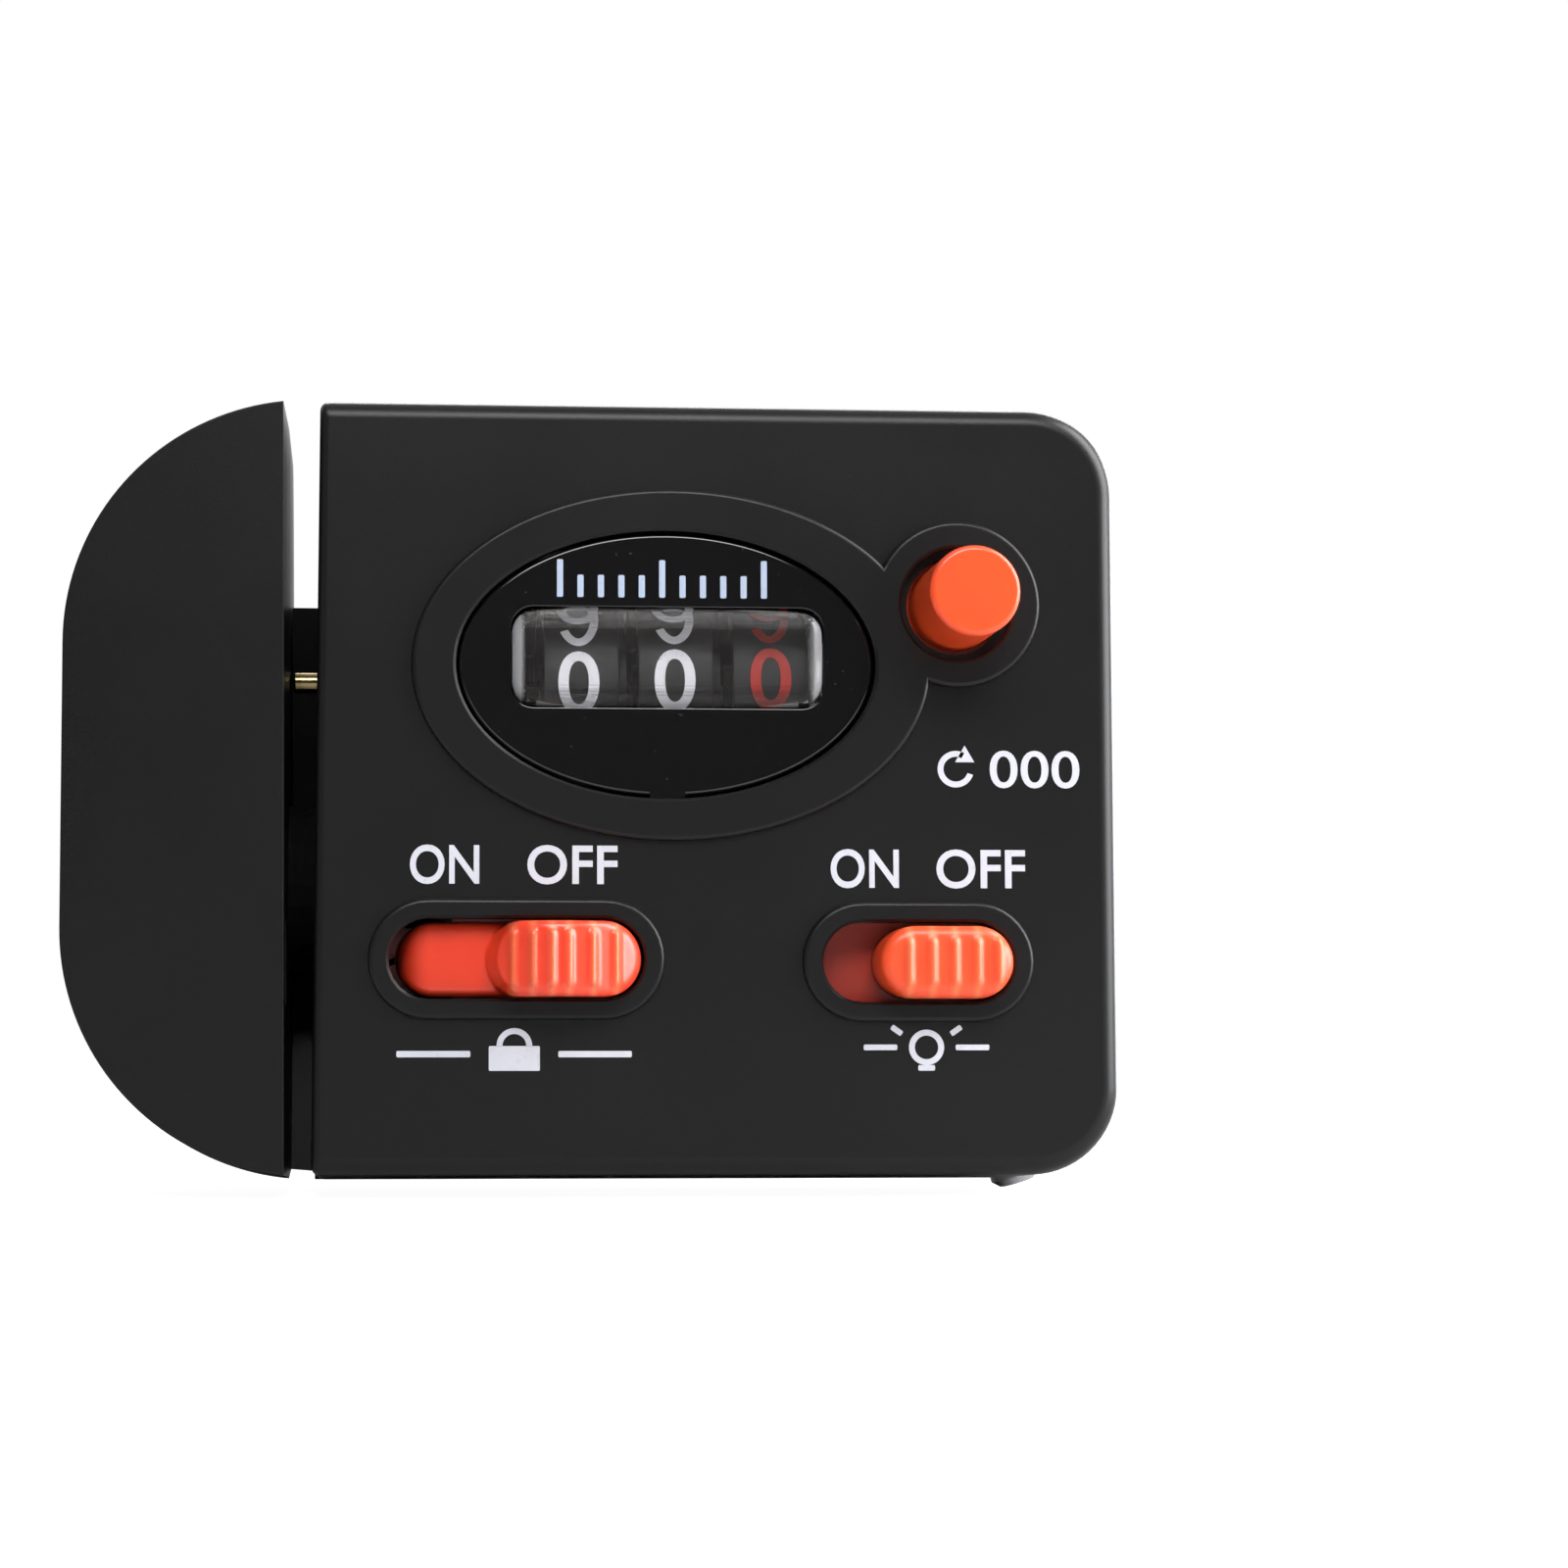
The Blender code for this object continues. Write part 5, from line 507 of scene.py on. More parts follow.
def clear_acrylic():
    """See-through acrylic, glossy by Fresnel and a little dusty, with a painted sheen along its top edge and
    painted bright crescents at both ends, where paler haze stands in for reflected light.
    """
    made = bpy.data.materials.new("window_clear")
    made.use_nodes = True
    tree = made.node_tree
    tree.nodes.remove(tree.nodes["Principled BSDF"])
    place = Link(tree).node("ShaderNodeTexCoord", output=3)
    past_end = place.axis(0).away_from(at(BAR_X, 0.0, 0.0).x) - END_SHEEN_FROM * MM
    past_top = place.axis(2) - at(0.0, 0.0, TOP_SHEEN_FROM).z
    # The end mask paints bright crescents at both ends of the bar: much paler haze that stands in for
    # reflected light.
    end = (past_end * (1.0 / (FADE * MM))).steps((0.0, 0.0), (1.0, 1.0))
    # The top mask paints a sheen along the bar's top edge: a little more pale haze and less Fresnel gloss
    # there.
    top = (past_top * (1.0 / (FADE * MM))).steps((0.0, 0.0), (1.0, 1.0))
    through = place.node("ShaderNodeBsdfTransparent", None, {"Color": (0.97, 0.97, 0.975, 1.0)})
    haze_and_sheen_colour = end.mixed((0.20, 0.19, 0.185, 1.0), (0.50, 0.50, 0.52, 1.0))
    haze_and_sheen_shader = place.node("ShaderNodeBsdfPrincipled", None, {
        "Base Color": haze_and_sheen_colour, "Roughness": 0.08, "IOR": 1.49})
    blotches = place.noise(700.0, 4.0, 0.7).steps((0.48, 0.0), (0.68, 1.0))
    dust = place.noise(3400.0, 3.0, 0.7).steps((0.58, 0.0), (0.72, 1.0))
    # The haze is real dust and blotches, plus the painted sheen of the top and end masks.
    dust_haze_and_sheen = 0.015 + blotches * dust * 0.34 + top * 0.04 + end * 0.45
    edge = place.node("ShaderNodeFresnel", None, {"IOR": 1.49})
    cover = dust_haze_and_sheen + edge * (0.9 - top * 0.55)
    both = place.node("ShaderNodeMixShader", None, {0: cover, 1: through, 2: haze_and_sheen_shader})
    tree.links.new(both.socket, tree.nodes["Material Output"].inputs["Surface"])
    return made


def along_x(name, x, radius, length, steps, y, z):
    """A round block along x."""
    bpy.ops.mesh.primitive_cylinder_add(vertices=steps, radius=1.0, depth=1.0, location=at(x, y, z),
                                        rotation=(0.0, math.pi / 2, 0.0))
    return named(name, (radius, radius, length))


def round_bar_hole(edge):
    """True for the front edges of the lens round the window bar."""
    place = middle(edge)
    return at_face(edge, LENS_FRONT) and abs(place.x - BAR_X) < 11.4 and abs(place.z - BAR_Z) < 3.7


LENS_BLACK = glossy_black()
CLEAR = clear_acrylic()

lens = disc("lens_plate", LENS_X, LENS_Z, 14.8, 9.4, LENS_FRONT, 1.9, 160)
round_edges(lens, lambda edge: at_face(edge, LENS_FRONT), 0.3, 4)
combine(lens, "UNION", block("lens_tab", 24.8, 27.3, 26.65, 27.4, [0.15] * 4, -0.15, 1.2))
combine(lens, "DIFFERENCE", block("bar_hole", 14.9, 37.3, 33.1, 40.3, [1.6] * 4, -2.0, 3.0))
round_edges(lens, round_bar_hole, 0.12, 2)
finished(lens, "case", LENS_BLACK, "lens_plastic", "window_lens")

bar = block("window_bar", 15.0, 37.2, 33.2, 40.2, [1.7] * 4, -1.4, 1.7)
combine(bar, "INTERSECT", along_x("barrel", BAR_X, 9.6, 30.0, 256, 8.85, BAR_Z))
round_edges(bar, lambda edge: edge.calc_face_angle(0.0) > 0.6 and middle(edge).y < 1.0, 0.9, 6)
finished(bar, "case", CLEAR, "clear_plastic")

# Number drums
# Three drums moulded in black plastic turn on one steel shaft. Each has ten printed figures, and those of the
# last one, which shows tenths, are red.

LAST_DRUM_X = 33.8
DRUM_PLACES = [("tens", 20.1, 0.0), ("ones", 26.95, 1.6), ("tenths", LAST_DRUM_X, 2.6)]
DRUM_AXIS = Vector((0.0, 10.6, 35.2))
DRUM_RADIUS = 8.0
FIGURE_TURN = 36.0
FIGURE_HEIGHT = 4.6
FIGURE_WIDTH = 2.98
ONE_WIDTH = 1.6
INK_FOOT = 0.005
INK_TOP = 0.04
STROKE_HALF_WIDTH = 2.35
NINE_HALF_HEIGHT = 3.65


def drum_black():
    """The black plastic of the drums, matt and a little dusty."""
    made, shader, place = surface("drum_black", {"IOR": 1.5})
    colour = place.noise(500.0, 3.0).mixed((0.013, 0.012, 0.012, 1.0), (0.026, 0.024, 0.024, 1.0))
    drive(shader, "Base Color", colour)
    drive(shader, "Roughness", 0.42 + place.noise(900.0) * 0.15)
    return made


def ink(name, colour, thin, glow=0.0):
    """Printed ink: matt and thinner in places, with a painted glow, an emission that stands in for light
    where the window would dim it.
    """
    made, shader, place = surface(name, {"Emission Color": (*colour, 1.0), "Emission Strength": glow})
    worn = place.noise(2200.0, 3.0, 0.6).steps((0.56, 0.0), (0.78, 1.0))
    drive(shader, "Base Color", (worn * 0.6).mixed((*colour, 1.0), (*thin, 1.0)))
    drive(shader, "Roughness", 0.5 + worn * 0.2)
    return made


def on_shaft(name, x, radius, length, steps):
    """A round block about the drum shaft."""
    return along_x(name, x, radius, length, steps, DRUM_AXIS.y, DRUM_AXIS.z)


def lettering(name, text, bold):
    """Flat lettering as a mesh at the origin, with its strokes thickened, and its two far corners."""
    bpy.ops.object.text_add()
    words = bpy.context.object
    words.name = name
    words.data.body = text
    words.data.size = 10.0
    words.data.offset = bold
    words.data.space_character = 1.0 + bold * 0.12
    words.data.resolution_u = 6
    bpy.ops.object.convert(target="MESH")
    low = Vector([min(vert.co[axis] for vert in words.data.vertices) for axis in range(3)])
    high = Vector([max(vert.co[axis] for vert in words.data.vertices) for axis in range(3)])
    return words, low, high


def join(pieces, name):
    """Joins pieces into the first of them."""
    bpy.ops.object.select_all(action="DESELECT")
    for piece in pieces:
        piece.select_set(True)
    bpy.context.view_layer.objects.active = pieces[0]
    bpy.ops.object.join()
    pieces[0].name = name
    pieces[0].data.name = name
    return pieces[0]


def flat_ring(height, half_height, kept):
    """A flat oval stroke of the figures, with only the angles that are kept."""
    bpy.ops.mesh.primitive_circle_add(vertices=60, radius=1.0, fill_type="NGON", location=(0.0, height, 0.0))
    ring = bpy.context.object
    ring.scale = (STROKE_HALF_WIDTH, half_height, 1.0)
    bpy.ops.object.transform_apply(location=True, rotation=True, scale=True)
    select(ring, "FACE", every)
    bpy.ops.mesh.inset(thickness=0.95)
    bpy.ops.mesh.delete(type="FACE")
    done()
    select(ring, "FACE", lambda face: not kept(math.degrees(math.atan2(
        face.calc_center_median().y - height, face.calc_center_median().x))))
    bpy.ops.mesh.delete(type="FACE")
    done()
    return ring


def figure_nine():
    """A nine: a loop above, and a hook that comes round below it to the left."""
    nine = join([flat_ring(0.0, NINE_HALF_HEIGHT, lambda angle: -132.0 < angle < 150.0),
                 flat_ring(1.5, 2.15, every)], "figure")
    corner = Vector((STROKE_HALF_WIDTH, NINE_HALF_HEIGHT, 0.0))
    return nine, -corner, corner


def digit_on_drum(index, x, ahead):
    """One figure as a mesh bent round its drum, a tenth of a turn from the one before."""
    digit, low, high = figure_nine() if index == 9 else lettering("figure", str(index), 0.10)
    centre = (low + high) / 2
    size = high - low
    wide = ONE_WIDTH if index == 1 else FIGURE_WIDTH
    select(digit, "FACE", every)
    for cut_at in range(1, 10):
        bpy.ops.mesh.select_all(action="SELECT")
        bpy.ops.mesh.bisect(plane_co=(0.0, low.y + size.y * cut_at / 10, 0.0), plane_no=(0.0, 1.0, 0.0),
                            threshold=0.00001)
    bpy.ops.mesh.select_all(action="SELECT")
    extrude(0.0, 0.0, 1.0)
    done(True)
    for vert in digit.data.vertices:
        across = (vert.co.x - centre.x) / size.x * wide
        around = (vert.co.y - centre.y) / size.y * FIGURE_HEIGHT / DRUM_RADIUS
        radius = DRUM_RADIUS + (INK_TOP if vert.co.z > 0.5 else INK_FOOT)
        turn = math.radians(ahead - FIGURE_TURN * index) + around
        vert.co = at(x + across, DRUM_AXIS.y - radius * math.cos(turn), DRUM_AXIS.z + radius * math.sin(turn))
    return digit


DRUM_BLACK = drum_black()
# The white figures carry that painted glow, to stay bright behind the window.
FIGURE_WHITE = ink("figure_white", (0.95, 0.95, 0.99), (0.80, 0.80, 0.86), 0.16)
RED_INK = ink("red_ink", (0.62, 0.035, 0.02), (0.42, 0.03, 0.02))

for body, x, ahead in DRUM_PLACES:
    drum = on_shaft(f"{body}_drum_moulding", x, DRUM_RADIUS, 5.4, 120)
    round_edges(drum, lambda edge: abs(edge.calc_face_angle(0.0)) > 1.0, 0.12, 2)
    combine(drum, "DIFFERENCE", on_shaft("recess", x - 1.0, 6.9, 5.4, 64))
    combine(drum, "UNION", on_shaft("hub", x - 0.2, 2.2, 5.0, 40), on_shaft("collar", x + 2.95, 6.2, 0.9, 60))
    combine(drum, "DIFFERENCE", on_shaft("bore", x, 1.0, 8.0, 32))
    finished(drum, body, DRUM_BLACK, "drum_plastic", f"{body}_drum")
    figure_x = x - 0.014 * (LAST_DRUM_X - x)
    figures = join([digit_on_drum(index, figure_x, ahead) for index in range(10)], f"{body}_figures")
    finished(figures, body, RED_INK if body == "tenths" else FIGURE_WHITE, "drum_plastic")

# Reset button
# An orange ABS plunger with a flange behind the face. Pushed in against its spring, its stem takes the comb
# to the drums.

BUTTON_FRONT = -7.0


def orange(name, colour, deep, roughness, crests=()):
    """Glossy orange ABS, a little translucent. On the slides, a painted highlight makes the rib crests paler
    and painted shade darkens what lies deep in their openings.
    """
    made, shader, place = surface(name, {
        "IOR": 1.53, "Coat Weight": 0.15, "Coat Roughness": 0.12,
        "Subsurface Weight": 0.12, "Subsurface Radius": (1.0, 0.35, 0.12), "Subsurface Scale": 0.0012})
    flow = place.noise(260.0, 3.0)
    fine = place.noise(4200.0, 2.0)
    body_colour = flow.steps((0.3, 0.0), (0.75, 1.0)).mixed((*colour, 1.0), (*deep, 1.0))
    if crests:
        # Paler orange along each rib crest is a painted highlight, broken up by fine noise.
        across = place.axis(0)
        crest_highlight = 0.0
        for crest in crests:
            near = 1.0 - across.away_from(at(crest, 0.0, 0.0).x) * (1.0 / (0.42 * MM))
            crest_highlight = across.sum("MAXIMUM", near, crest_highlight)
        crest_highlight = crest_highlight * fine.steps((0.2, 0.6), (0.7, 1.0))
        body_colour = (crest_highlight * 0.48).mixed(body_colour, (1.0, 0.30, 0.12, 1.0))
        # Orange more than 1 mm behind the face is darkened towards a deep red: painted shade in the slide
        # openings.
        depth = (place.axis(1) - at(0.0, 1.0, 0.0).y) * (1.0 / MM)
        body_colour = depth.steps((0.0, 0.0), (1.0, 0.85)).mixed(body_colour, (0.28, 0.012, 0.006, 1.0))
    drive(shader, "Base Color", body_colour)
    drive(shader, "Roughness", roughness + flow * 0.10 + fine * 0.04)
    drive(shader, "Normal", bump(place, fine, 0.18, 0.02))
    return made


BUTTON_ORANGE = orange("button_orange", (0.88, 0.085, 0.016), (0.80, 0.066, 0.012), 0.26)

button = disc("button_plunger", 47.0, 40.75, 3.2, 3.2, BUTTON_FRONT, 2.4, 96)
round_edges(button, lambda edge: at_face(edge, BUTTON_FRONT), 0.42, 6)
combine(button, "UNION", disc("flange", BUTTON_X, BUTTON_Z, 5.05, 5.05, 2.3, 3.7, 64),
        disc("stem", BUTTON_X, BUTTON_Z, 1.5, 1.5, 3.0, 11.4, 32))
finished(button, "reset", BUTTON_ORANGE, "orange_plastic", "reset_button")

# Slides
# Two orange slides with ribbed thumb grips run behind the face in their openings: the line lock at the left,
# whose tail carries the tongue that closes the slot, and the light switch at the right.

LOCK_Z = 15.2
LOCK_RIBS = [15.0, 16.35, 17.7, 18.9, 20.6, 22.3]
HUMP_LEFT = 13.0
HUMP_LENGTH = 11.1
HUMP_CREST = 0.45
HUMP_FOOT = 1.1
HUMP_RISE = 2.4
NOSE_CENTRE = 16.0
NOSE_RADIUS = 2.95
NOSE_SLOPE = 0.9
TAIL_HEIGHT = -0.95
TAIL_ROLL_FROM = 9.3
TAIL_ROLL_LENGTH = 2.5
TAIL_ROLL_DEPTH = 2.4
LOCK_HALF = 2.65
LIGHT_Z = 15.0
LIGHT_RIBS = [42.9, 44.55, 46.15, 47.75, 49.3]


def clamped(value):
    """A value held between 0 and 1."""
    return min(max(value, 0.0), 1.0)


def smooth_step(value):
    """A rise from 0 to 1 that starts and ends level."""
    value = clamped(value)
    return value * value * (3.0 - 2.0 * value)


def thumb_grip(name, left, right, z, half, edge, foot, height, columns):
    """A grip over an outline with round ends: raised by its height at x, rounded at its rim, closed below."""
    bpy.ops.mesh.primitive_grid_add(x_subdivisions=columns, y_subdivisions=32, size=1.0,
                                    rotation=(math.pi / 2, 0.0, 0.0))
    grip = bpy.context.object
    grip.name = name
    bpy.ops.object.transform_apply(location=True, rotation=True, scale=True)
    for vert in grip.data.vertices:
        up = half * math.sin(math.pi * vert.co.z)
        end = half - math.sqrt(max(half * half - up * up, 0.0))
        x = min(max(left + (right - left) * (vert.co.x + 0.5), left + end), right - end)
        nearest = min(max(x, left + half), right - half)
        depth = half - math.hypot(x - nearest, up)
        drop = edge - math.sqrt(max(edge * edge - (edge - min(depth, edge)) ** 2, 0.0))
        vert.co = at(x, drop - height(x, up), z + up)
    select(grip, "VERT", every)
    bpy.ops.mesh.remove_doubles(threshold=0.000005)
    bpy.ops.mesh.select_all(action="DESELECT")
    bpy.ops.mesh.select_non_manifold()
    extrude(0.0, 0.0001, 0.0)
    mesh = bmesh.from_edit_mesh(grip.data)
    for vert in mesh.verts:
        if vert.select:
            vert.co.y = at(0.0, foot, 0.0).y
    bmesh.update_edit_mesh(grip.data)
    bpy.ops.mesh.edge_face_add()
    done(True)
    return grip


def ribs(places, x, up, rise, width, reach):
    """Height of narrow raised ribs across a grip, which fade before its rim."""
    fade = smooth_step((reach - abs(up)) / 0.35)
    return rise * fade * sum(math.exp(-((x - place) / width) ** 2) for place in places)


def lock_height(x, up):
    """The line lock: a ribbed hump at the right, and a low tail at the left that rolls under the face."""
    share = clamped((x - HUMP_LEFT) / HUMP_LENGTH)
    lean = share / HUMP_CREST if share < HUMP_CREST else (1.0 - share) / (1.0 - HUMP_CREST)
    hump = HUMP_FOOT + HUMP_RISE * math.sin(math.pi / 2 * clamped(lean))
    hump += ribs(LOCK_RIBS, x, up, 0.34, 0.30, 2.1)
    roll = clamped((TAIL_ROLL_FROM - x) / TAIL_ROLL_LENGTH)
    tail = TAIL_HEIGHT - 0.1 * smooth_step((12.9 - x) / 3.0)
    tail -= TAIL_ROLL_DEPTH * (1.0 - math.sqrt(1.0 - roll * roll))
    nose = NOSE_CENTRE - math.sqrt(NOSE_RADIUS ** 2 - min(abs(up), LOCK_HALF) ** 2)
    return tail + (hump - tail) * smooth_step((x - nose) / NOSE_SLOPE)


def light_height(x, up):
    """The light switch: a level ribbed grip."""
    return 2.75 + ribs(LIGHT_RIBS, x, up, 0.28, 0.30, 1.8)


LOCK_ORANGE = orange("lock_orange", (0.90, 0.062, 0.022), (0.84, 0.048, 0.016), 0.24, LOCK_RIBS)
LIGHT_ORANGE = orange("light_orange", (0.92, 0.085, 0.016), (0.86, 0.066, 0.012), 0.34, LIGHT_RIBS)

lock = thumb_grip("lock_slide", left=6.8, right=24.1, z=LOCK_Z, half=LOCK_HALF, edge=0.6, foot=3.6,
                  height=lock_height, columns=240)
combine(lock, "UNION", block("lock_plate", 10.9, 25.9, 11.1, 19.2, [0.6] * 4, 2.35, 3.45),
        block("lock_tongue", 1.7, 13.3, 12.8, 17.5, [0.4] * 4, 3.7, 6.7),
        block("lock_neck", 9.9, 13.3, 12.9, 17.4, [0.3] * 4, 3.2, 4.2))
finished(lock, "lock", LOCK_ORANGE, "orange_plastic", "lock_slider")

light = thumb_grip("light_slide", left=40.9, right=50.4, z=LIGHT_Z, half=2.55, edge=0.8, foot=2.6,
                   height=light_height, columns=160)
combine(light, "UNION", block("light_plate", 35.6, 54.7, 11.0, 19.1, [0.5] * 4, 2.3, 3.5),
        block("left_prong", 43.5, 44.5, 14.1, 16.1, [0.2] * 4, 3.0, 4.8),
        block("right_prong", 46.9, 47.9, 14.1, 16.1, [0.2] * 4, 3.0, 4.8))
finished(light, "light", LIGHT_ORANGE, "orange_plastic", "light_slider")

# Printing
# White pad print on the face: the two switch positions over each slide and a plain picture for what it does.
# The lens carries a scale of eleven bluish marks over the window.

INK_THICKNESS = 0.03
STROKE = 0.42
BULB_X = 44.5
BULB_Z = 9.0
SIDE_RAYS = [(0.0, 3.4, 2.4), (180.0, 3.4, 2.4)]
UPPER_RAYS = [(35.0, 2.0, 0.9), (145.0, 2.0, 0.9)]
TICK_COUNT = 11
TICK_STEP = 1.46
TICK_HALF = 0.22


def printed(words, low, high, left, right, bottom, top, depth):
    """Flat lettering stretched to its place on the face and given the thickness of the ink."""
    select(words, "FACE", every)
    extrude(0.0, 0.0, 1.0)
    done(True)
    for vert in words.data.vertices:
        x = left + (vert.co.x - low.x) / (high.x - low.x) * (right - left)
        z = bottom + (vert.co.y - low.y) / (high.y - low.y) * (top - bottom)
        vert.co = at(x, depth - (INK_THICKNESS if vert.co.z > 0.5 else 0.0), z)
    return words


def word(text, left, right, bottom, top, bold=0.15):
    """A word or number printed on the face, stretched to its place."""
    return printed(*lettering("word", text, bold), left, right, bottom, top, 0.0)


def ink_bar(left, right, low, high, depth=0.0, turn=0.0):
    """A bar of ink, turned about its middle."""
    stroke = block("bar", left, right, low, high, [0.1] * 4, depth - INK_THICKNESS, depth)
    centre = at((left + right) / 2, depth, (low + high) / 2)
    turned = Matrix.Translation(centre) @ Matrix.Rotation(turn, 4, "Y") @ Matrix.Translation(-centre)
    stroke.data.transform(turned)
    return stroke


def ink_ring(x, z, radius, start=0.0, end=360.0):
    """A ring or arc of ink, from one angle to another, anticlockwise from the right."""
    ring = oval("ring", x, z, radius + STROKE / 2, radius + STROKE / 2, 0.0, 45)
    select(ring, "FACE", every)
    bpy.ops.mesh.inset(thickness=STROKE * MM)
    bpy.ops.mesh.delete(type="FACE")
    done()
    select(ring, "FACE", lambda face: not start <= math.degrees(
        math.atan2(middle(face).z - z, middle(face).x - x)) % 360.0 <= end)
    bpy.ops.mesh.delete(type="FACE")
    done()
    return thicken(ring, -INK_THICKNESS)


def arrow_head(x, z, size, turn):
    """A filled three-cornered head of ink that points along an angle."""
    bpy.ops.mesh.primitive_circle_add(vertices=3, radius=1.0, fill_type="NGON", location=at(x, 0.0, z),
                                      rotation=(-math.pi / 2, math.radians(-90.0 - turn), 0.0))
    return thicken(named("arrow_head", (size, size, size)), -INK_THICKNESS)


WHITE_INK = ink("white_ink", (0.56, 0.57, 0.63), (0.42, 0.43, 0.48))
SCALE_INK = ink("scale_ink", (0.38, 0.45, 0.58), (0.28, 0.33, 0.42))

switch_words = [word("ON", 7.8, 12.7, 20.5, 23.3), word("OFF", 16.1, 22.5, 20.5, 23.3),
                word("ON", 37.7, 42.6, 20.3, 23.1), word("OFF", 45.3, 51.7, 20.3, 23.1)]
padlock = [ink_bar(6.9, 12.1, 8.3, 8.75), ink_bar(18.3, 23.5, 8.3, 8.75), ink_bar(13.4, 17.0, 7.35, 9.1),
           ink_ring(LOCK_Z, 9.1, 1.05, 0.0, 180.0)]
bulb = [ink_ring(BULB_X, BULB_Z, 1.05), ink_bar(43.9, 45.1, 7.35, 7.75)]
for turn, reach, length in SIDE_RAYS + UPPER_RAYS:
    x = BULB_X + (1.6 + reach / 2) * math.cos(math.radians(turn))
    z = BULB_Z + (1.6 + reach / 4) * math.sin(math.radians(turn))
    bulb.append(ink_bar(x - length / 2, x + length / 2, z - 0.2, z + 0.2, 0.0, -math.radians(turn)))
round_arrow = [ink_ring(46.75, 28.85, 1.1, 60.0, 340.0), arrow_head(47.4, 29.75, 0.8, -30.0)]
zeros = word("000", 49.2, 55.7, 27.5, 30.2, 0.08)
printing = join(switch_words + padlock + bulb + round_arrow + [zeros], "face_printing")
finished(printing, "case", WHITE_INK, "drum_plastic")

ticks = []
for index in range(TICK_COUNT):
    x = 18.4 + TICK_STEP * index
    tick_top = 43.7 if index % 5 == 0 else 42.6
    ticks.append(ink_bar(x - TICK_HALF, x + TICK_HALF, 41.0, tick_top, LENS_FRONT))
finished(join(ticks, "lens_scale"), "case", SCALE_INK, "drum_plastic")

# Line slot
# A brass pin, pressed in both walls of the slot, keeps the line on the rubber-tyred wheel below it. The pin,
# the screws and the clamp's metal pieces are turned or stamped, so their metals are made by one function.


def metal(name, colour, roughness, scratch):
    """Turned or stamped metal with fine scratches and dull patches."""
    made, shader, place = surface(name, {"Metallic": 1.0})
    patches = place.noise(300.0, 4.0)
    lines = place.noise(5000.0, 2.0)
    drive(shader, "Base Color", patches.mixed((*colour, 1.0), (*[part * 0.82 for part in colour], 1.0)))
    drive(shader, "Roughness", roughness + patches * 0.14 + lines * 0.06)
    drive(shader, "Normal", bump(place, lines, scratch, 0.01))
    return made


BRASS = metal("pin_brass", (0.42, 0.32, 0.16), 0.10, 0.15)
STEEL = metal("screw_steel", (0.58, 0.58, 0.60), 0.26, 0.4)
NICKEL = metal("nut_nickel", (0.66, 0.58, 0.48), 0.24, 0.35)

pin = along_x("keeper_rod", 1.6, 0.8, 5.1, 40, 18.5, 36.8)
round_edges(pin, lambda edge: edge.calc_face_angle(0.0) > 1.0, 0.15, 3)
finished(pin, "case", BRASS, "brass", "keeper_pin")

# Rear shell and battery door
# The rear half behind both front mouldings, with the saddle of the rod clamp. The battery door is a piece of
# the same black skin, held by one steel screw with a cross recess.

DOOR_SCREW_HEAD = at(52.2, 17.8, 6.2)
DOOR_OUTWARDS = Vector((0.2924, 0.0, -0.9563))
RECESS_HALF_LENGTH = 1.1
RECESS_HALF_WIDTH = 0.22


def merged(node, name):
    """A copy of a solid as one merged mesh."""
    copy = bpy.data.objects.new(name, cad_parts[node].data.copy())
    bpy.context.collection.objects.link(copy)
    select(copy, "VERT", every)
    bpy.ops.mesh.remove_doubles(threshold=0.000002)
    bpy.ops.mesh.dissolve_limited(angle_limit=math.radians(0.5))
    done()
    return copy


def smoothed(node, name, body, material, slot, angle=32.0):
    """A merged copy of a solid, finished in place of it."""
    piece = merged(node, name)
    finished(piece, body, material, slot, node, angle=angle)
    return piece


def cross_recess(bottom, top):
    """The two cutting bars of a cross recess in a head about the y axis."""
    return [block("recess_bar", -RECESS_HALF_LENGTH, RECESS_HALF_LENGTH, -RECESS_HALF_WIDTH,
                  RECESS_HALF_WIDTH, [0.1] * 4, bottom, top),
            block("recess_post", -RECESS_HALF_WIDTH, RECESS_HALF_WIDTH, -RECESS_HALF_LENGTH,
                  RECESS_HALF_LENGTH, [0.1] * 4, bottom, top)]


smoothed("rear_shell", "rear_moulding", "case", CASE_BLACK, "case_plastic")
smoothed("battery_door", "door_moulding", "case", CASE_BLACK, "case_plastic")

door_screw = merged("door_screw", "door_screw_head")
tilt = Vector((0.0, 1.0, 0.0)).rotation_difference(DOOR_OUTWARDS).to_matrix().to_4x4()
turned = Matrix.Translation(DOOR_SCREW_HEAD) @ tilt @ Matrix.Translation(-at(0.0, 0.0, 0.0))
for tool in cross_recess(7.04, 8.5):
    tool.data.transform(turned)
    combine(door_screw, "DIFFERENCE", tool)
finished(door_screw, "case", STEEL, "steel", "door_screw")

# Case screws
# Six steel screws with pan heads and cross recesses are driven from behind, through the rear shell, into the
# posts of the front mouldings. One is modelled and copied.

HEAD_BACK = 21.1

screw = disc("screw", 0.0, 0.0, 1.9, 1.9, 19.8, HEAD_BACK, 48)
round_edges(screw, lambda edge: at_face(edge, HEAD_BACK), 0.55, 4)
combine(screw, "UNION", disc("shank", 0.0, 0.0, 0.9, 0.9, 7.0, 20.0, 32))
combine(screw, "DIFFERENCE", *cross_recess(20.35, 22.0))
for index, (x, z) in enumerate(FRONT_SCREWS + END_SCREWS, 1):
    copy = bpy.data.objects.new(f"cross_screw_{index}", screw.data.copy())
    bpy.context.collection.objects.link(copy)
    copy.data.transform(Matrix.Translation(Vector((x, 0.0, z)) * MM))
    finished(copy, "case", STEEL, "steel", f"case_screw_{index}")
bpy.data.objects.remove(screw)

# Rod clamp
# A black moulded jaw, with a bulging edge and a rubber lining, is drawn on a long plated stud against the
# saddle by a knurled nut and a washer. It is modelled upright and then leant with the rod.

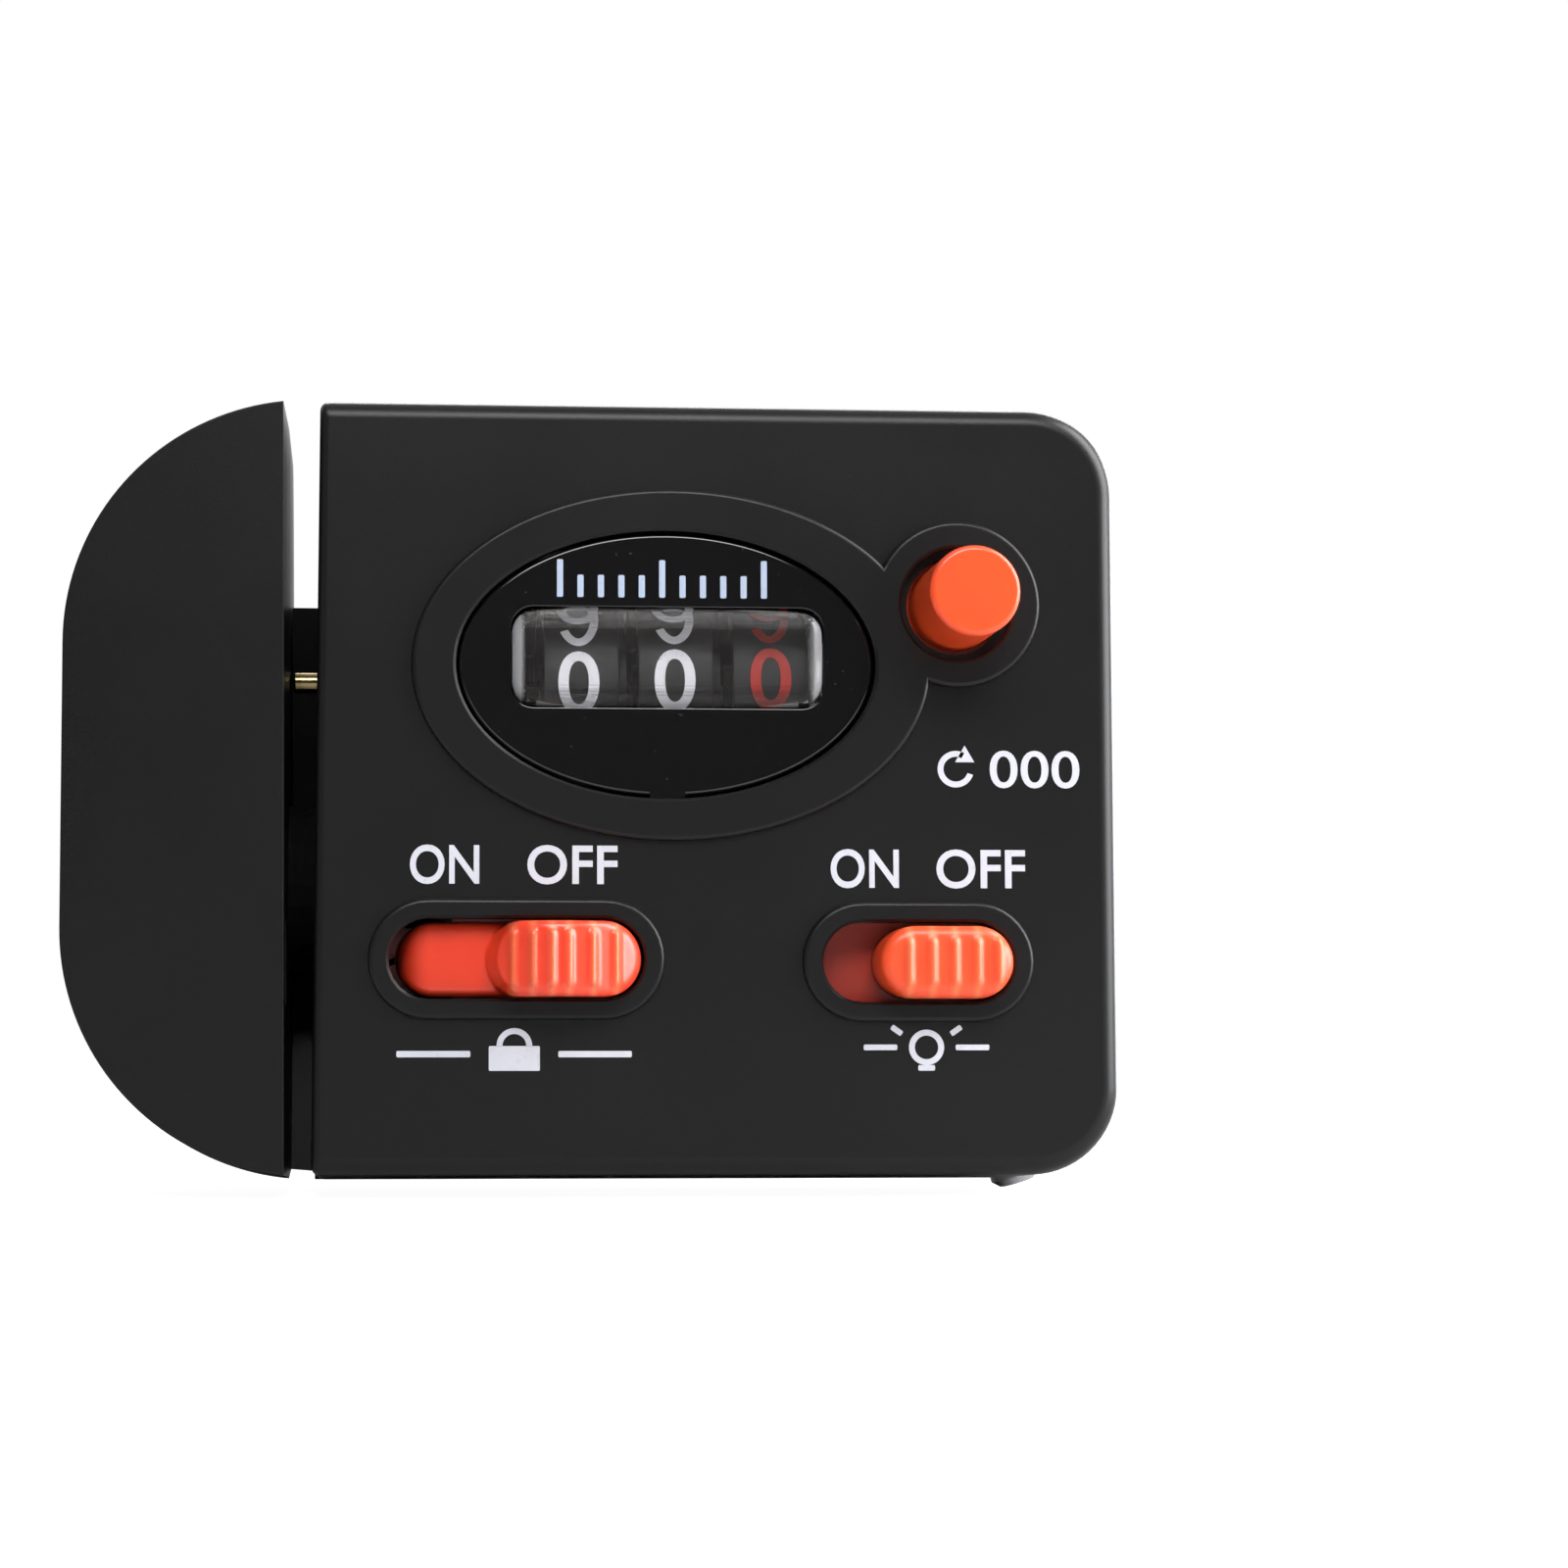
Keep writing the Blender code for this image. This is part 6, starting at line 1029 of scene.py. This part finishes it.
ROD_LEAN = math.radians(-16.0)
JAW_LEFT = -8.4
JAW_RIGHT = 24.4
JAW_ROUND = 1.2
JAW_BACK = [(6.9, 16.1), (9.3, 15.7), (11.0, 13.6), (11.0, -13.6), (9.3, -15.7), (6.9, -16.1)]
GROOVE_RADIUS = 6.7
STUD_X = 11.8
STUD_Z = 21.2


def rod_slab(name, outline, left, right):
    """A slab across the rod from its side outline, in mm out from and along the rod."""
    bpy.ops.mesh.primitive_circle_add(vertices=len(outline), radius=1.0, fill_type="NGON")
    slab = bpy.context.object
    slab.name = name
    for vert, (out, along) in zip(slab.data.vertices, outline):
        vert.co = at(left, ROD_DEPTH + out, ROD_HEIGHT + along)
    select(slab, "FACE", every)
    extrude((right - left) * MM, 0.0, 0.0)
    done(True)
    return slab


def bulge(inner, sag, reach):
    """The points of an edge towards the rod, which falls back by its sag at both ends."""
    return [(inner + sag * (step / 10 - 1.0) ** 2, reach * (step / 10 - 1.0)) for step in range(21)]


def runs_across(edge):
    """True for a sharp edge of the jaw from side to side."""
    ends = [spot(vert.co) for vert in edge.verts]
    return abs(ends[0].x - ends[1].x) > 1.0 and edge.calc_face_angle(0.0) > 0.35


def at_end(edge):
    """True for an edge of the jaw's left or right end."""
    middle_x = (JAW_LEFT + JAW_RIGHT) / 2
    return all(abs(spot(vert.co).x - middle_x) > JAW_RIGHT - middle_x - 0.01 for vert in edge.verts)


RUBBER = moulded_black("pad_rubber", 2400.0, 0.6, 0.72, 0.9)

jaw = rod_slab("jaw_body", bulge(-3.4, 1.7, 14.0) + JAW_BACK, JAW_LEFT, JAW_RIGHT)
combine(jaw, "DIFFERENCE",
        rod_slab("wing_cut", bulge(3.0, 2.6, 18.0) + [(-20.0, 18.0), (-20.0, -18.0)], -20.0, 8.5),
        block("hollow", 8.4, 18.9, -10.0, 60.0, [0.0] * 4, 10.0, 42.4))
round_edges(jaw, lambda edge: at_end(edge) or runs_across(edge), JAW_ROUND, 5)
raised = block("raised", JAW_LEFT + 2.0, JAW_RIGHT - 2.0, 13.0, 33.4, [2.2] * 4, 44.0, 48.5)
combine(raised, "DIFFERENCE", along_x("dish", 8.0, 31.45, 60.0, 180, 78.3, ROD_HEIGHT))
combine(jaw, "UNION", raised)
bpy.ops.mesh.primitive_cylinder_add(vertices=128, radius=1.0, depth=1.0)
combine(jaw, "DIFFERENCE", named("groove", (GROOVE_RADIUS, GROOVE_RADIUS, 60.0)),
        disc("washer_seat", STUD_X, STUD_Z, 6.9, 6.9, 45.7, 60.0, 96),
        disc("stud_hole", STUD_X, STUD_Z, 2.8, 2.8, 20.0, 60.0, 48))
jaw.data.transform(Matrix.Rotation(ROD_LEAN, 4, "X"))
finished(jaw, "jaw", CASE_BLACK, "case_plastic", "clamp_jaw")

smoothed("clamp_nut", "knurled_nut", "nut", NICKEL, "nickel", 12.0)
smoothed("clamp_stud", "threaded_stud", "case", NICKEL, "nickel")
smoothed("clamp_washer", "plain_washer", "jaw", STEEL, "steel")

# Reset spring
# A small coil of steel wire stands round the stem of the button, between the comb and a seat on the counter
# frame. It is a merged copy of the solid with a mesh of its own; the real spring shortens from its front end
# as the button is pushed in.

spring = smoothed("reset_spring", "return_spring", "case", STEEL, "steel", 60.0)
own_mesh(spring)

# Works inside
# Acetal gears, steel shafts, the counter frame, the lamp board and two coin cells, seen only through gaps.
# They are the solids themselves, each given the finish of its material slot.


def acetal():
    """The off-white acetal of the gears."""
    made, shader, place = surface("gear_acetal", {
        "IOR": 1.48, "Subsurface Weight": 0.1, "Subsurface Scale": 0.001})
    drive(shader, "Base Color", place.noise(400.0).mixed((0.66, 0.66, 0.62, 1.0), (0.74, 0.73, 0.70, 1.0)))
    drive(shader, "Roughness", 0.38 + place.noise(1500.0) * 0.12)
    return made


def board_green():
    """The green lacquer of the circuit board."""
    made, shader, place = surface("board_green", {"IOR": 1.5})
    drive(shader, "Base Color", place.noise(900.0).mixed((0.012, 0.10, 0.04, 1.0), (0.02, 0.13, 0.055, 1.0)))
    drive(shader, "Roughness", 0.3 + place.noise(1200.0) * 0.2)
    return made


def lamp_red():
    """The red resin of the lamp."""
    made, shader, place = surface("lamp_red", {"IOR": 1.5, "Coat Weight": 0.5})
    drive(shader, "Base Color", place.noise(700.0).mixed((0.60, 0.02, 0.02, 1.0), (0.50, 0.015, 0.015, 1.0)))
    drive(shader, "Roughness", 0.12 + place.noise(900.0) * 0.08)
    return made


FRAME_BLACK = moulded_black("frame_black", 3000.0, 0.25, 0.45, 0.6)
FINISHES = {
    "case_plastic": FRAME_BLACK, "drum_plastic": DRUM_BLACK, "gear_plastic": acetal(), "rubber": RUBBER,
    "steel": STEEL, "brass": BRASS, "nickel": NICKEL, "board_green": board_green(), "lamp_red": lamp_red(),
    "lens_plastic": LENS_BLACK, "clear_plastic": CLEAR, "orange_plastic": BUTTON_ORANGE,
}

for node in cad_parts.values():
    for fitted in node.material_slots:
        fitted.material = FINISHES[fitted.material.name.split(".")[0]]

# Studio
# A white floor and soft boxes, in a white room that the camera sees brighter than it lights the case. The
# camera stands close in front, a little left of and below the middle.

ROOM_LIGHT = 0.24
ROOM_REFLECTION = 0.5
FLOOR_GLOW = 1.66
FLOOR_GLOW_SHARE = 0.58
DISTANCE = 225.0
FIELD_WIDTH = 110.66
SENSOR_WIDTH = 36.0

scene = bpy.context.scene
scene.view_settings.view_transform = "Standard"


def softbox(name, place, target, width, height, power, colour=(1.0, 1.0, 1.0)):
    """A rectangular light of a power in watts, aimed at a target."""
    light_data = bpy.data.lights.new(name, "AREA")
    light_data.shape = "RECTANGLE"
    light_data.size = width
    light_data.size_y = height
    light_data.energy = power
    light_data.color = colour
    box = bpy.data.objects.new(name, light_data)
    box.location = place
    box.rotation_euler = (Vector(target) - Vector(place)).to_track_quat("-Z", "Y").to_euler()
    scene.collection.objects.link(box)


def ray_kind(tree, kind):
    """1 for a ray of one kind, else 0."""
    return Link(tree, Link(tree).node("ShaderNodeLightPath").socket.node.outputs[kind])


def seen_ray(tree):
    """1 for a ray from the camera, straight or through the window, else 0."""
    camera_ray = ray_kind(tree, "Is Camera Ray")
    return camera_ray.sum("MAXIMUM", camera_ray, ray_kind(tree, "Is Transmission Ray"))


softbox("key_right", (0.38, -0.10, 0.17), (0.0, 0.0, 0.0), 0.27, 0.50, 4.8)
softbox("top", (0.03, -0.36, 0.32), (0.0, 0.0, 0.0), 0.30, 0.16, 1.75)
softbox("fill_left", (-0.46, -0.34, 0.20), (0.0, 0.0, 0.0), 0.30, 0.30, 0.12)
softbox("back_top", (0.12, 0.45, 0.40), (0.0, 0.0, 0.0), 0.4, 0.25, 2.0)
softbox("back_right", (0.42, 0.40, 0.06), (0.05, 0.0, 0.0), 0.25, 0.35, 2.4, (0.86, 0.92, 1.0))

world = bpy.data.worlds.new("studio")
scene.world = world
world.use_nodes = True
background = world.node_tree.nodes["Background"]
background.inputs["Color"].default_value = (1.0, 1.0, 1.0, 1.0)
seen = seen_ray(world.node_tree)
glossy = ray_kind(world.node_tree, "Is Glossy Ray")
way = Link(world.node_tree).node("ShaderNodeTexCoord", output=0)
room = (0.5 + 0.5 * way.axis(1)).steps((0.30, 0.10), (0.62, 1.0))
strength = seen + (1.0 - seen) * (ROOM_LIGHT + glossy * ROOM_REFLECTION) * room
world.node_tree.links.new(strength.socket, background.inputs["Strength"])

floor_z = min(cad_bounds[0][2], cad_bounds[1][2])
bpy.ops.mesh.primitive_plane_add(size=60.0, location=(0.0, 0.0, floor_z))
floor = bpy.context.object
floor.name = "floor"
floor_white, floor_shader, floor_place = surface("floor_white", {
    "Base Color": (0.55, 0.55, 0.55, 1.0), "Roughness": 0.9})
floor_tree = floor_white.node_tree
lit = Link(floor_tree, floor_shader.outputs["BSDF"])
glow = floor_place.node("ShaderNodeEmission", None, {"Color": (1.0, 1.0, 1.0, 1.0), "Strength": FLOOR_GLOW})
share = seen_ray(floor_tree) * FLOOR_GLOW_SHARE
both = floor_place.node("ShaderNodeMixShader", None, {0: share, 1: lit, 2: glow})
floor_tree.links.new(both.socket, floor_tree.nodes["Material Output"].inputs["Surface"])
floor.data.materials.append(floor_white)

camera = bpy.data.cameras.new("camera")
camera.sensor_width = SENSOR_WIDTH
camera.lens = SENSOR_WIDTH * DISTANCE / FIELD_WIDTH
camera.shift_x = 0.125
camera.shift_y = 0.03
camera.clip_start = 0.01
view = bpy.data.objects.new("camera", camera)
scene.collection.objects.link(view)
scene.camera = view
eye = at(5.8, -DISTANCE, 8.9)
target = at(20.4, 0.0, 24.3)
view.location = eye
view.rotation_euler = (target - eye).to_track_quat("-Z", "Y").to_euler()
